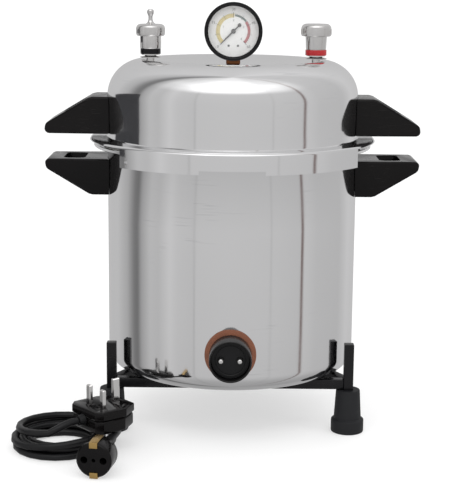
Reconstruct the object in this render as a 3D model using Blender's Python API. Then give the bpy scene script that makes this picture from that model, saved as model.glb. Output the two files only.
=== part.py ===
"""Benchtop autoclave: a pressure pot on a three-legged stand, with a turning bayonet lid,
a dial gauge, two lid valves, an electric inlet low on the wall and its loose cord set.

Metres, +Z up. The pot's axis is the Z axis, the floor is z = 0 and the front is -Y.
"""

import math

import bmesh
import bpy
import numpy as np
from mathutils import Matrix, Vector

# ---- driving sizes -------------------------------------------------------------------
GAP = 0.0003  # clearance between neighbours that touch on the real thing

POT_R = 0.125  # outside of the pot wall
POT_WALL = 0.003
POT_CORNER_R = 0.017
POT_BOTTOM_Z = 0.0538
POT_FLANGE_R = POT_R + 0.0135
POT_FLANGE_T = 0.003
POT_GAP_R = POT_R + 0.0075  # the pot flange is cut back to here between its lugs

LID_FLANGE_Z = 0.2865  # upper face of the lid flange
LID_T = 0.0022
LID_R = POT_R  # outside of the lid's cylindrical wall
LID_TOP_Z = 0.3629  # crown of the lid
LID_SHOULDER_R = 0.036
LID_DISH = 0.005  # the crown's centre lies this much lower
SKIRT_R = POT_R + 0.0176
SKIRT_T = 0.0018
SKIRT_H = 0.0203
SKIRT_SPAN = (-48.0, 57.0)  # degrees from the front, and again at the back
NOTCH_SPAN = 24.6
NOTCH_H = 0.0038
LIP_DEPTH = 0.0062
LIP_T = 0.0022
LIP_DROP = 0.0012  # space between the pot flange and the lip that locks under it
LIP_SPAN = 16.0
LIP_COUNT = 6
GASKET_T = 0.003
GASKET_W = 0.006

HANDLE_TIP_R = POT_R + 0.0608
HANDLE_BOTTOM_W = 0.066
HANDLE_TOP_W = 0.056
HANDLE_H = 0.0362
HANDLE_FLAT = 0.0215  # length of the handle's high part, beside the wall
HANDLE_TIP_H = 0.0105
HANDLE_SLOT = (0.0215, 0.041)  # radial and sideways size of the finger slot
HANDLE_SLOT_R = POT_R + 0.0215  # where the slot starts, from the pot's axis
SCREW_R = 0.0022
SCREW_HEAD_R = 0.0045
LID_HANDLE_Z = LID_FLANGE_Z + 0.0040
POT_HANDLE_Z = LID_FLANGE_Z - 0.0210  # upper, flat face of the pot's handles

GAUGE_R = 0.0287
GAUGE_Z = LID_TOP_Z - 0.0009 + GAUGE_R
GAUGE_FRONT_Y = -0.0165
GAUGE_DEPTH = 0.024
DIAL_R = GAUGE_R - 0.0035
GAUGE_NECK_R = 0.0060

VALVE_X = POT_R - 0.0428
VALVE_HOLE_R = 0.0042
VALVE_LIFT = 0.0011  # a valve's flat foot stands this much above the sloping crown

INLET_Z = 0.0932
INLET_REACH = POT_R + 0.0265  # front end of the inlet shroud, from the pot's axis
INLET_R = 0.0201
NECK_R = 0.0135  # the element head's neck, through the wall
INLET_BORE_R = 0.0184
WASHER_R = 0.0245
PIN_R = 0.0028
PIN_PITCH = 0.0178

BAR = 0.0095  # square section of the stand
POST_TOP_Z = 0.0895
FOOT_R = 0.0162
FOOT_H = 0.0431
FOOT_FLOOR = 0.0100  # rubber under the end of a post

BASKET_R = POT_R - 0.021
BASKET_H = 0.140
BASKET_T = 0.0015
TRAY_R = POT_R - 0.009
TRAY_Z = 0.1155

CORD_D = 0.007
CORD_OUT = POT_R - 0.125  # the cord set keeps clear of the stand on a wider pot
COIL_AT = (-0.162 - CORD_OUT, -0.122 - CORD_OUT)
COIL_R = 0.0475
COIL_BUNDLE = 0.021  # width and height of the wound turns
CONNECTOR_R = 0.0165
CONNECTOR_L = 0.031
SLEEVE_L = 0.030
PLUG_L = 0.048
PLUG_W = 0.050
PLUG_T = 0.022
PLUG_TURN = 40.0
PLUG_AT = (-0.1195 - CORD_OUT, -0.1255 - CORD_OUT)

# ---- sizes that follow ---------------------------------------------------------------
POT_RIM_Z = LID_FLANGE_Z - LID_T - GASKET_T - 2 * GAP
POT_INNER_R = POT_R - POT_WALL
POT_FLOOR_Z = POT_BOTTOM_Z + POT_WALL
LIP_Z = POT_RIM_Z - POT_FLANGE_T - LIP_DROP - LIP_T
LEG_R = INLET_REACH - FOOT_R  # the feet reach as far back as the inlet reaches forward
BAR_TOP_Z = POT_BOTTOM_Z - GAP
DISH_Z = LID_TOP_Z - LID_DISH
CROWN_R = LID_R - LID_SHOULDER_R
HANDLE_SCREW_END = POT_R + 0.012
CORD_R = CORD_D / 2
COIL_TOP_Z = COIL_BUNDLE
PLUG_Z = COIL_TOP_Z + 0.0012

# The connector lead leaves the sleeve, comes down to the floor and joins the coil.
CONNECTOR_LEAD = [
    (-0.1107, -0.1495, 0.0177),
    (-0.1085, -0.1385, 0.0177),
    (-0.1071, -0.1278, 0.0169),
    (-0.1075, -0.1182, 0.0143),
    (-0.1098, -0.1090, 0.0108),
    (-0.1137, -0.1005, 0.0078),
    (-0.1190, -0.0930, 0.0056),
    (-0.1238, -0.0876, 0.0044),
]
# The plug lead rises from the coil's upper turn into the plug.
PLUG_LEAD = [
    (-0.1685, -0.1588, 0.0252),
    (-0.1617, -0.1577, 0.0286),
    (-0.1553, -0.1551, 0.0316),
    (-0.1493, -0.1506, 0.0332),
    (-0.1434, -0.1456, 0.0332),
]
CONNECTOR_LEAD = [(x - CORD_OUT, y - CORD_OUT, z) for x, y, z in CONNECTOR_LEAD]
PLUG_LEAD = [(x - CORD_OUT, y - CORD_OUT, z) for x, y, z in PLUG_LEAD]

MATERIALS = {
    "polished_aluminium": ((0.78, 0.78, 0.79), 0.12, 1.0),
    "bakelite": ((0.012, 0.012, 0.013), 0.18, 0.0),
    "stand_paint": ((0.02, 0.02, 0.022), 0.35, 0.0),
    "foot_rubber": ((0.022, 0.023, 0.025), 0.7, 0.0),
    "gasket_rubber": ((0.55, 0.55, 0.52), 0.6, 0.0),
    "steel": ((0.6, 0.6, 0.61), 0.22, 1.0),
    "brass": ((0.62, 0.42, 0.16), 0.3, 1.0),
    "bronze": ((0.27, 0.13, 0.06), 0.35, 1.0),
    "fibre": ((0.16, 0.07, 0.035), 0.6, 0.0),
    "phenolic": ((0.018, 0.018, 0.02), 0.4, 0.0),
    "valve_black": ((0.015, 0.015, 0.016), 0.3, 0.0),
    "valve_red": ((0.55, 0.02, 0.02), 0.3, 0.0),
    "dial_white": ((0.85, 0.85, 0.84), 0.5, 0.0),
    "clear": ((0.9, 0.95, 0.95), 0.03, 0.0),
    "cord_rubber": ((0.014, 0.014, 0.015), 0.45, 0.0),
    "element_alloy": ((0.28, 0.25, 0.22), 0.4, 1.0),
}


# ---- helpers -------------------------------------------------------------------------
def clear_scene():
    for obj in list(bpy.data.objects):
        bpy.data.objects.remove(obj, do_unlink=True)


def material(name, kind):
    color, roughness, metallic = MATERIALS[kind]
    mat = bpy.data.materials.new(name)
    mat.use_nodes = True
    bsdf = mat.node_tree.nodes["Principled BSDF"]
    bsdf.inputs["Base Color"].default_value = (*color, 1)
    bsdf.inputs["Roughness"].default_value = roughness
    bsdf.inputs["Metallic"].default_value = metallic
    if kind == "clear":
        bsdf.inputs["Alpha"].default_value = 0.3
    return mat


def add(name, bm, kind=None, smooth=0.0, origin=(0, 0, 0)):
    """Make the object, with its origin at the given place and faces outwards."""
    bmesh.ops.remove_doubles(bm, verts=bm.verts, dist=0.000001)
    bmesh.ops.recalc_face_normals(bm, faces=bm.faces)
    bmesh.ops.translate(bm, verts=bm.verts, vec=-Vector(origin))
    mesh = bpy.data.meshes.new(name)
    bm.to_mesh(mesh)
    bm.free()
    obj = bpy.data.objects.new(name, mesh)
    obj.location = origin
    bpy.context.collection.objects.link(obj)
    if kind:
        mesh.materials.append(material(name, kind))
    if smooth:
        mesh.shade_smooth()
        mesh.set_sharp_from_angle(angle=math.radians(smooth))
    return obj


def box_bm(lo, hi):
    bm = bmesh.new()
    bmesh.ops.create_cube(bm, size=1)
    lo, hi = Vector(lo), Vector(hi)
    size, mid = hi - lo, (hi + lo) / 2
    bmesh.ops.scale(bm, verts=bm.verts, vec=size)
    bmesh.ops.translate(bm, verts=bm.verts, vec=mid)
    return bm


def lathe_bm(profile, steps=48):
    """Turn a closed profile of (radius, z) points about Z; points at radius 0 become poles."""
    bm = bmesh.new()
    rings = []
    for r, z in profile:
        if r < 1e-7:
            rings.append([bm.verts.new((0, 0, z))])
            continue
        ring = []
        for i in range(steps):
            a = 2 * math.pi * i / steps
            ring.append(bm.verts.new((r * math.cos(a), r * math.sin(a), z)))
        rings.append(ring)
    for k, a in enumerate(rings):
        b = rings[(k + 1) % len(rings)]
        if len(a) == 1 and len(b) == 1:
            continue
        for i in range(steps):
            j = (i + 1) % steps
            if len(a) == 1:
                bm.faces.new((a[0], b[i], b[j]))
            elif len(b) == 1:
                bm.faces.new((a[i], a[j], b[0]))
            else:
                bm.faces.new((a[i], a[j], b[j], b[i]))
    return bm


def lathe(name, profile, kind=None, at=(0, 0, 0), axis="Z", steps=48, smooth=35.0, origin=None):
    bm = lathe_bm(profile, steps)
    turn = {"Z": Matrix(), "-Y": Matrix.Rotation(math.pi / 2, 4, "X")}[axis]
    bmesh.ops.transform(bm, matrix=Matrix.Translation(at) @ turn, verts=bm.verts)
    return add(name, bm, kind, smooth, origin or at)


def prism_bm(outline, lo, hi):
    """Extrude an (x, y) outline from z = lo to z = hi."""
    bm = bmesh.new()
    low = [bm.verts.new((x, y, lo)) for x, y in outline]
    high = [bm.verts.new((x, y, hi)) for x, y in outline]
    bm.faces.new(list(reversed(low)))
    bm.faces.new(high)
    n = len(outline)
    for i in range(n):
        j = (i + 1) % n
        bm.faces.new((low[i], low[j], high[j], high[i]))
    return bm


def sector(inner, outer, start, end, steps=12):
    """Outline between two radii, with angles in degrees from the front, positive to +X."""
    angles = [math.radians(start + (end - start) * i / steps) for i in range(steps + 1)]
    out = [(outer * math.sin(a), -outer * math.cos(a)) for a in angles]
    back = [(inner * math.sin(a), -inner * math.cos(a)) for a in reversed(angles)]
    return out + back


def join_bms(parts):
    whole = bmesh.new()
    for bm in parts:
        mesh = bpy.data.meshes.new("part")
        bm.to_mesh(mesh)
        bm.free()
        whole.from_mesh(mesh)
        bpy.data.meshes.remove(mesh)
    return whole


def cutter(bm):
    obj = add("cutter", bm)
    obj.hide_render = True
    obj.display_type = "WIRE"
    return obj


def combine(obj, other, operation):
    """Apply one exact boolean and remove the second object."""
    mod = obj.modifiers.new("boolean", "BOOLEAN")
    mod.operation = operation
    mod.solver = "EXACT"
    mod.object = other
    with bpy.context.temp_override(object=obj, active_object=obj):
        bpy.ops.object.modifier_apply(modifier=mod.name)
    bpy.data.objects.remove(other, do_unlink=True)
    return obj


def cut(obj, *bms):
    for bm in bms:
        combine(obj, cutter(bm), "DIFFERENCE")
    return obj


def unite(obj, *bms):
    for bm in bms:
        combine(obj, cutter(bm), "UNION")
    return obj


def bevel(obj, width, segments=2, angle=40.0):
    mod = obj.modifiers.new("bevel", "BEVEL")
    mod.width = width
    mod.segments = segments
    mod.limit_method = "ANGLE"
    mod.angle_limit = math.radians(angle)
    with bpy.context.temp_override(object=obj, active_object=obj):
        bpy.ops.object.modifier_apply(modifier=mod.name)
    return obj


def finish_smooth(obj, angle=35.0):
    obj.data.shade_smooth()
    obj.data.set_sharp_from_angle(angle=math.radians(angle))
    return obj


def turned(bm, degrees, axis="Z", about=(0, 0, 0)):
    matrix = Matrix.Translation(about) @ Matrix.Rotation(math.radians(degrees), 4, axis)
    bmesh.ops.transform(bm, matrix=matrix @ Matrix.Translation(-Vector(about)), verts=bm.verts)
    return bm


def cylinder_bm(radius, lo, hi, at=(0, 0), steps=32, axis="Z"):
    """A cylinder along Z at (x, y), or along Y at (x, z)."""
    bm = lathe_bm([(0, lo), (radius, lo), (radius, hi), (0, hi)], steps)
    if axis == "Y":
        turn = Matrix.Rotation(-math.pi / 2, 4, "X")
        bmesh.ops.transform(bm, matrix=turn, verts=bm.verts)
        bmesh.ops.translate(bm, verts=bm.verts, vec=(at[0], 0, at[1]))
        return bm
    bmesh.ops.translate(bm, verts=bm.verts, vec=(at[0], at[1], 0))
    return bm


def arc(cx, cz, radius, start, end, steps):
    """Points (r, z) on an arc, angles in degrees."""
    points = []
    for i in range(steps + 1):
        a = math.radians(start + (end - start) * i / steps)
        points.append((cx + radius * math.cos(a), cz + radius * math.sin(a)))
    return points


def smooth_path(points, spacing):
    """Catmull-Rom curve through the points, read at an even spacing."""
    p = np.array(points, float)
    p = np.vstack([2 * p[0] - p[1], p, 2 * p[-1] - p[-2]])
    fine = []
    for k in range(1, len(p) - 2):
        for t in np.linspace(0, 1, 20, endpoint=False):
            a = 2 * p[k]
            b = (p[k + 1] - p[k - 1]) * t
            c = (2 * p[k - 1] - 5 * p[k] + 4 * p[k + 1] - p[k + 2]) * t * t
            d = (3 * p[k] - p[k - 1] - 3 * p[k + 1] + p[k + 2]) * t**3
            fine.append((a + b + c + d) / 2)
    fine.append(p[-2])
    fine = np.array(fine)
    run = np.concatenate([[0], np.cumsum(np.linalg.norm(np.diff(fine, axis=0), axis=1))])
    count = max(3, round(run[-1] / spacing) + 1)
    at = np.linspace(0, run[-1], count)
    return [tuple(np.interp(s, run, fine[:, i]) for i in range(3)) for s in at]


def tube(name, points, diameter, kind, resolution=3):
    curve = bpy.data.curves.new(name, "CURVE")
    curve.dimensions = "3D"
    curve.bevel_depth = diameter / 2
    curve.bevel_resolution = resolution
    curve.use_fill_caps = True
    spline = curve.splines.new("POLY")
    spline.points.add(len(points) - 1)
    for point, place in zip(spline.points, points):
        point.co = (*place, 1)
    curve.materials.append(material(name, kind))
    obj = bpy.data.objects.new(name, curve)
    bpy.context.collection.objects.link(obj)
    return obj


# ---- pot -----------------------------------------------------------------------------
def pot():
    """Drawn pot with a flat bottom, an outward flange with six lugs and the inlet hole."""
    r, c = POT_R, POT_CORNER_R
    outer = arc(r - c, POT_BOTTOM_Z + c, c, -90, 0, 4)
    ci = c - POT_WALL
    inner = arc(POT_INNER_R - ci, POT_FLOOR_Z + ci, ci, 0, -90, 4)
    profile = [(0, POT_BOTTOM_Z)] + outer
    profile += [(r, POT_RIM_Z - POT_FLANGE_T), (POT_FLANGE_R, POT_RIM_Z - POT_FLANGE_T)]
    profile += [(POT_FLANGE_R, POT_RIM_Z), (POT_INNER_R, POT_RIM_Z)]
    profile += inner + [(0, POT_FLOOR_Z)]
    obj = lathe("pot", profile, "polished_aluminium", steps=64, smooth=35)
    lo, hi = POT_RIM_Z - 2 * POT_FLANGE_T, POT_RIM_Z + POT_FLANGE_T
    gaps = []
    for middle in lip_angles():
        half = LIP_SPAN / 2 + 2.5
        outline = sector(POT_GAP_R, POT_FLANGE_R + 0.01, middle - half, middle + half, 8)
        gaps.append(prism_bm(outline, lo, hi))
    cut(obj, join_bms(gaps))
    hole = cylinder_bm(NECK_R + GAP, -POT_R - 0.01, -POT_INNER_R + 0.01, (0, INLET_Z), 32, "Y")
    cut(obj, hole)
    return finish_smooth(obj)


def lip_angles():
    """Middles of the lid's locking lips at rest, three on each half of the skirt."""
    first = SKIRT_SPAN[0] + LIP_SPAN / 2 + 3
    last = SKIRT_SPAN[1] - LIP_SPAN / 2 - 3
    per_side = LIP_COUNT // 2
    step = (last - first) / (per_side - 1)
    front = [first + i * step for i in range(per_side)]
    return front + [a + 180 for a in front]


def wedge_handle(name, side, z_flat, up):
    """Moulded handle: one flat face, a high root, a slope to the tip and a finger slot.

    up is +1 where the slope is on top (lid) and -1 where it is underneath (pot).
    """
    root = POT_R - 0.004
    tip = HANDLE_TIP_R
    shoulder = POT_R + HANDLE_FLAT - 0.006
    h, tip_h = HANDLE_H, HANDLE_TIP_H
    side_outline = [(root, 0), (tip - 0.003, 0), (tip, 0.003), (tip - 0.001, tip_h - 0.001)]
    side_outline += [(tip - 0.004, tip_h + 0.001), (shoulder + 0.002, h - 0.001)]
    side_outline += [(shoulder - 0.002, h), (root, h)]
    bm = bmesh.new()
    loops = []
    for sign in (-1, 1):
        loop = []
        for x, z in side_outline:
            share = z / h
            half = (HANDLE_BOTTOM_W * (1 - share) + HANDLE_TOP_W * share) / 2
            pinch = max(0.0, (x - (tip - 0.022)) / 0.022)
            half *= 1 - 0.13 * pinch * pinch
            loop.append(bm.verts.new((x, sign * half, z * up)))
        loops.append(loop)
    n = len(side_outline)
    bm.faces.new(loops[0])
    bm.faces.new(list(reversed(loops[1])))
    for i in range(n):
        j = (i + 1) % n
        bm.faces.new((loops[0][i], loops[1][i], loops[1][j], loops[0][j]))
    bmesh.ops.translate(bm, verts=bm.verts, vec=(0, 0, z_flat))
    if side < 0:
        bmesh.ops.rotate(bm, verts=bm.verts, matrix=Matrix.Rotation(math.pi, 3, "Z"))
    obj = add(name, bm, "bakelite")
    lo, hi = sorted((z_flat - up * 0.02, z_flat + up * (h + 0.02)))
    bevel(obj, 0.0032, 3, 35)
    cut(obj, turned(cylinder_bm(POT_R + GAP, lo, hi, (0, 0), 64), 180 / 64))
    x0, x1 = sorted((side * HANDLE_SLOT_R, side * (HANDLE_SLOT_R + HANDLE_SLOT[0])))
    half = HANDLE_SLOT[1] / 2
    slot = prism_bm(rounded_rectangle(x0, -half, x1, half, 0.006), lo, hi)
    cut(obj, slot)
    bore = cylinder_bm(SCREW_R + GAP, POT_R - 0.002, HANDLE_SCREW_END + GAP, (0, 0), 16)
    place_screw(bore, side, screw_z(z_flat, up))
    cut(obj, bore)
    return finish_smooth(obj, 40)


def screw_z(z_flat, up):
    return z_flat + up * HANDLE_H * 0.5


def place_screw(bm, side, z):
    """Lay a Z-axis solid along the radius on one side, at the given height."""
    bmesh.ops.rotate(bm, verts=bm.verts, matrix=Matrix.Rotation(side * math.pi / 2, 3, "Y"))
    bmesh.ops.translate(bm, verts=bm.verts, vec=(0, 0, z))
    return bm


def rounded_rectangle(x0, y0, x1, y1, radius, steps=4):
    corners = [(x1 - radius, y1 - radius, 0), (x0 + radius, y1 - radius, 90)]
    corners += [(x0 + radius, y0 + radius, 180), (x1 - radius, y0 + radius, 270)]
    outline = []
    for cx, cy, start in corners:
        for i in range(steps + 1):
            a = math.radians(start + 90 * i / steps)
            outline.append((cx + radius * math.cos(a), cy + radius * math.sin(a)))
    return outline


# ---- lid -----------------------------------------------------------------------------
def lid():
    """Pressed lid: dished crown, wide shoulder, straight wall, flange and locking skirt."""
    t, s = LID_T, LID_SHOULDER_R
    shoulder_out = arc(CROWN_R, LID_TOP_Z - s, s, 0, 90, 6)
    crown_out = [(CROWN_R * k, crown_z(CROWN_R * k)) for k in (0.75, 0.45, 0.0)]
    crown_in = [(r, z - t) for r, z in reversed(crown_out)]
    shoulder_in = arc(CROWN_R, LID_TOP_Z - s, s - t, 90, 0, 6)
    flange_lo = LID_FLANGE_Z - t
    profile = [(LID_R, LID_FLANGE_Z)] + shoulder_out + crown_out
    profile += crown_in + shoulder_in
    profile += [(LID_R - t, flange_lo), (SKIRT_R - SKIRT_T, flange_lo)]
    profile += [(SKIRT_R - SKIRT_T, LID_FLANGE_Z - SKIRT_H), (SKIRT_R, LID_FLANGE_Z - SKIRT_H)]
    profile += [(SKIRT_R, LID_FLANGE_Z - 0.0012), (SKIRT_R - 0.0012, LID_FLANGE_Z)]
    obj = lathe("lid", profile, "polished_aluminium", steps=64)
    low = LID_FLANGE_Z - SKIRT_H - 0.005
    first, last = SKIRT_SPAN
    for start, end in ((last, 180 + first), (180 + last, 360 + first)):
        outline = sector(LID_R + 0.004, SKIRT_R + 0.01, start, end, 16)
        cut(obj, prism_bm(outline, low, flange_lo - 0.0005))
    notch_z = LID_FLANGE_Z - SKIRT_H + NOTCH_H
    outline = sector(LID_R + 0.004, SKIRT_R + 0.01, -NOTCH_SPAN / 2, NOTCH_SPAN / 2, 8)
    cut(obj, prism_bm(outline, low, notch_z))
    lips = []
    for middle in lip_angles():
        a, b = middle - LIP_SPAN / 2, middle + LIP_SPAN / 2
        outline = sector(SKIRT_R - LIP_DEPTH, SKIRT_R - SKIRT_T * 0.5, a, b, 6)
        lips.append(prism_bm(outline, LIP_Z, LIP_Z + LIP_T))
    unite(obj, join_bms(lips))
    vent = cylinder_bm(0.0021, SKIRT_R - 0.006, SKIRT_R + 0.006, (0, 0), 16)
    place_screw(vent, 1, LID_FLANGE_Z - 0.0145)
    turned(vent, -90 + SKIRT_SPAN[0] + 3.6)
    cut(obj, vent)
    holes = []
    for x in (-VALVE_X, VALVE_X):
        holes.append(cylinder_bm(VALVE_HOLE_R + GAP, DISH_Z - 0.01, LID_TOP_Z + 0.01, (x, 0), 24))
    holes.append(cylinder_bm(GAUGE_NECK_R + GAP, DISH_Z - 0.01, LID_TOP_Z + 0.01, (0, 0), 24))
    cut(obj, join_bms(holes))
    return finish_smooth(obj, 30)


def crown_z(r):
    return LID_TOP_Z - LID_DISH * (1 - (r / CROWN_R) ** 2)


def gasket():
    """Ring of rubber between the pot's rim and the lid's flange."""
    lo = POT_RIM_Z + GAP
    hi = lo + GASKET_T
    outer = POT_R + 0.0035
    inner = outer - GASKET_W
    r = 0.0007
    profile = [(outer, lo), (outer, hi - r), (outer - r, hi), (inner + r, hi), (inner, hi - r), (inner, lo)]
    return lathe("lid_gasket", profile, "gasket_rubber", steps=48)


def handle_screw(name, side, z, owner, inner_r):
    """Pan-head screw from inside the wall into the handle's root, and its hole in the wall."""
    seat = inner_r - 0.0004
    profile = [(0, seat - 0.0022), (SCREW_HEAD_R - 0.001, seat - 0.0022)]
    profile += [(SCREW_HEAD_R, seat - 0.0012), (SCREW_HEAD_R, seat), (SCREW_R, seat)]
    profile += [(SCREW_R, HANDLE_SCREW_END), (0, HANDLE_SCREW_END)]
    add(name, place_screw(lathe_bm(profile, 16), side, z), "steel", 35)
    hole = cylinder_bm(SCREW_R + GAP, inner_r - 0.004, POT_R + 0.004, (0, 0), 16)
    cut(owner, place_screw(hole, side, z))


# ---- gauge ---------------------------------------------------------------------------
def gauge():
    """Dial gauge on a square neck, facing the front, with a turning pointer."""
    front, back = GAUGE_FRONT_Y, GAUGE_FRONT_Y + GAUGE_DEPTH
    # Case: a cup, closed behind, open to the front. Local +Z is the front.
    depth = GAUGE_DEPTH - 0.0045
    r = GAUGE_R - 0.0018
    case = [(0, 0), (r - 0.002, 0), (r, 0.002), (r, depth), (r - 0.0016, depth)]
    case += [(r - 0.0016, 0.006), (0, 0.006)]
    at = (0, back, GAUGE_Z)
    obj = lathe("gauge_case", case, "steel", at, "-Y", 40)
    saddle_lo = (-0.006, front + 0.008, GAUGE_Z - r - 0.0002)
    unite(obj, box_bm(saddle_lo, (0.006, back - 0.003, GAUGE_Z - r + 0.0012)))
    finish_smooth(obj)
    z0 = depth + GAP
    ring = [(DIAL_R - 0.0004, z0), (GAUGE_R - 0.0008, z0), (GAUGE_R, z0 + 0.0008)]
    ring += [(GAUGE_R, z0 + 0.0030), (GAUGE_R - 0.0008, z0 + 0.0040)]
    ring += [(DIAL_R + 0.0009, z0 + 0.0040)]
    ring += [(DIAL_R - 0.0004, z0 + 0.0026)]
    lathe("gauge_bezel", ring, "valve_black", at, "-Y", 40)
    dial_r = r - 0.0016 - GAP
    dial = [(0, depth - 0.0062), (dial_r, depth - 0.0062)]
    dial += [(dial_r, depth - 0.0054), (0, depth - 0.0054)]
    dial_obj = lathe("gauge_dial", dial, "dial_white", at, "-Y", 40)
    bore = cylinder_bm(0.0013, -0.02, 0.02, (0, GAUGE_Z), 16, "Y")
    cut(dial_obj, bore)
    lens = [(0, depth - 0.0014), (dial_r, depth - 0.0014)]
    lens += [(dial_r, depth - 0.0004), (0, depth - 0.0004)]
    lathe("gauge_lens", lens, "clear", at, "-Y", 40)
    pointer(back - depth)
    neck()


def pointer(mouth_y):
    """Pointer with a counterweight, on a spindle through the dial; rests at lower left."""
    plane = 0.0038  # middle of the blade behind the case's mouth
    reach, tail = DIAL_R - 0.0065, 0.0085
    outline = [(0.0009, 0.0012), (0.00035, reach - 0.001), (0, reach), (-0.00035, reach - 0.001)]
    outline += [(-0.0009, 0.0012)]
    blade = prism_bm(outline, -0.0003, 0.0003)
    hub = lathe_bm([(0, -0.0040), (0.0009, -0.0040), (0.0009, -0.0006), (0.0024, -0.0006),
                    (0.0024, 0.0009), (0, 0.0009)], 20)
    bar = [(0.0006, 0), (-0.0006, 0), (-0.0006, -tail), (0.0006, -tail)]
    tail_bar = prism_bm(bar, -0.0003, 0.0003)
    weight = cylinder_bm(0.0019, -0.0003, 0.0003, (0, -tail), 20)
    obj = add("gauge_pointer", hub, "valve_black")
    unite(obj, blade, tail_bar, weight)
    turn = Matrix.Rotation(math.pi / 2, 4, "X") @ Matrix.Rotation(math.radians(135), 4, "Z")
    obj.data.transform(turn)
    obj.location = (0, mouth_y + plane, GAUGE_Z)
    return finish_smooth(obj)


def neck():
    """Square bronze neck with a threaded end through the crown, and its nut inside."""
    top = GAUGE_Z - GAUGE_R + 0.0018 - 0.0002 - GAP
    half = 0.0070
    base = DISH_Z + GAP
    obj = add("gauge_neck", box_bm((-half, GAUGE_FRONT_Y + 0.0095, base), (half, half, top)), "bronze")
    bevel(obj, 0.0008, 1)
    thread = [(0, base - 0.011), (GAUGE_NECK_R - 0.0008, base - 0.011), (GAUGE_NECK_R, base - 0.0102)]
    thread += [(GAUGE_NECK_R, base + 0.001), (0, base + 0.001)]
    unite(obj, lathe_bm(thread, 24))
    finish_smooth(obj)
    nut("gauge_nut", 0, DISH_Z - LID_T - GAP, GAUGE_NECK_R, 0.0085, 0.004, "brass")


def nut(name, x, top, bore_r, across, height, kind):
    """Hexagon nut hanging under the crown, bored clear of the thread."""
    outline = [(across * math.cos(math.radians(60 * i)), across * math.sin(math.radians(60 * i)))
               for i in range(6)]
    bm = prism_bm(outline, top - height, top)
    bmesh.ops.translate(bm, verts=bm.verts, vec=(x, 0, 0))
    obj = add(name, bm, kind)
    bore = cylinder_bm(bore_r + GAP, top - height - 0.005, top + 0.005, (x, 0), 24)
    cut(obj, bore)
    return finish_smooth(obj)


# ---- valves --------------------------------------------------------------------------
def relief_valve():
    """Dead-weight valve on the left: a seat stem and a weight that rides up on the steam."""
    x = -VALVE_X
    seat = crown_z(VALVE_X) + VALVE_LIFT
    stem_top = seat + 0.0165
    stem = [(0, seat - 0.009), (VALVE_HOLE_R, seat - 0.009), (VALVE_HOLE_R, seat + 0.0006)]
    stem += [(0.0095, seat + 0.0006), (0.0105, seat + 0.0014), (0.0056, seat + 0.0024)]
    stem += [(0.0056, seat + 0.0085), (0.0032, seat + 0.0085), (0.0030, stem_top - 0.002)]
    stem += [(0.0008, stem_top), (0, stem_top)]
    lathe("relief_stem", stem, "steel", (x, 0, 0), steps=24, origin=(x, 0, seat))
    nut("relief_nut", x, seat - LID_T - 2 * VALVE_LIFT, VALVE_HOLE_R, 0.0065, 0.0032, "brass")
    low = seat + 0.0085 + GAP
    ring_low, ring_high = LID_TOP_Z + 0.0047, LID_TOP_Z + 0.0099
    cap_low, cap_high = LID_TOP_Z + 0.0223, LID_TOP_Z + 0.0339
    top = LID_TOP_Z + 0.0484
    bore = 0.0036
    body = [(bore, low), (0.0080, low), (0.0092, ring_low - 0.0008), (0.0092, ring_high + 0.0003)]
    body += [(0.0105, ring_high + 0.0005), (0.0105, cap_low), (0.0132, cap_low + 0.0005)]
    body += [(0.0143, cap_low + 0.002), (0.0143, cap_high - 0.0035), (0.0130, cap_high - 0.0012)]
    body += [(0.0105, cap_high), (0.0048, cap_high + 0.0004), (0.0024, cap_high + 0.0035)]
    body += [(0.0020, cap_high + 0.0065), (0.0034, top - 0.0022), (0.0030, top - 0.0004), (0, top)]
    body += [(0, stem_top + 0.0012), (bore, stem_top + 0.0004)]
    lathe("relief_weight", body, "steel", (x, 0, 0), steps=28, origin=(x, 0, low))
    ring = [(0.0092 + GAP, ring_low), (0.0101, ring_low), (0.0101, ring_high), (0.0092 + GAP, ring_high)]
    lathe("relief_ring", ring, "valve_black", (x, 0, 0), steps=28, origin=(x, 0, ring_low))


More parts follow.
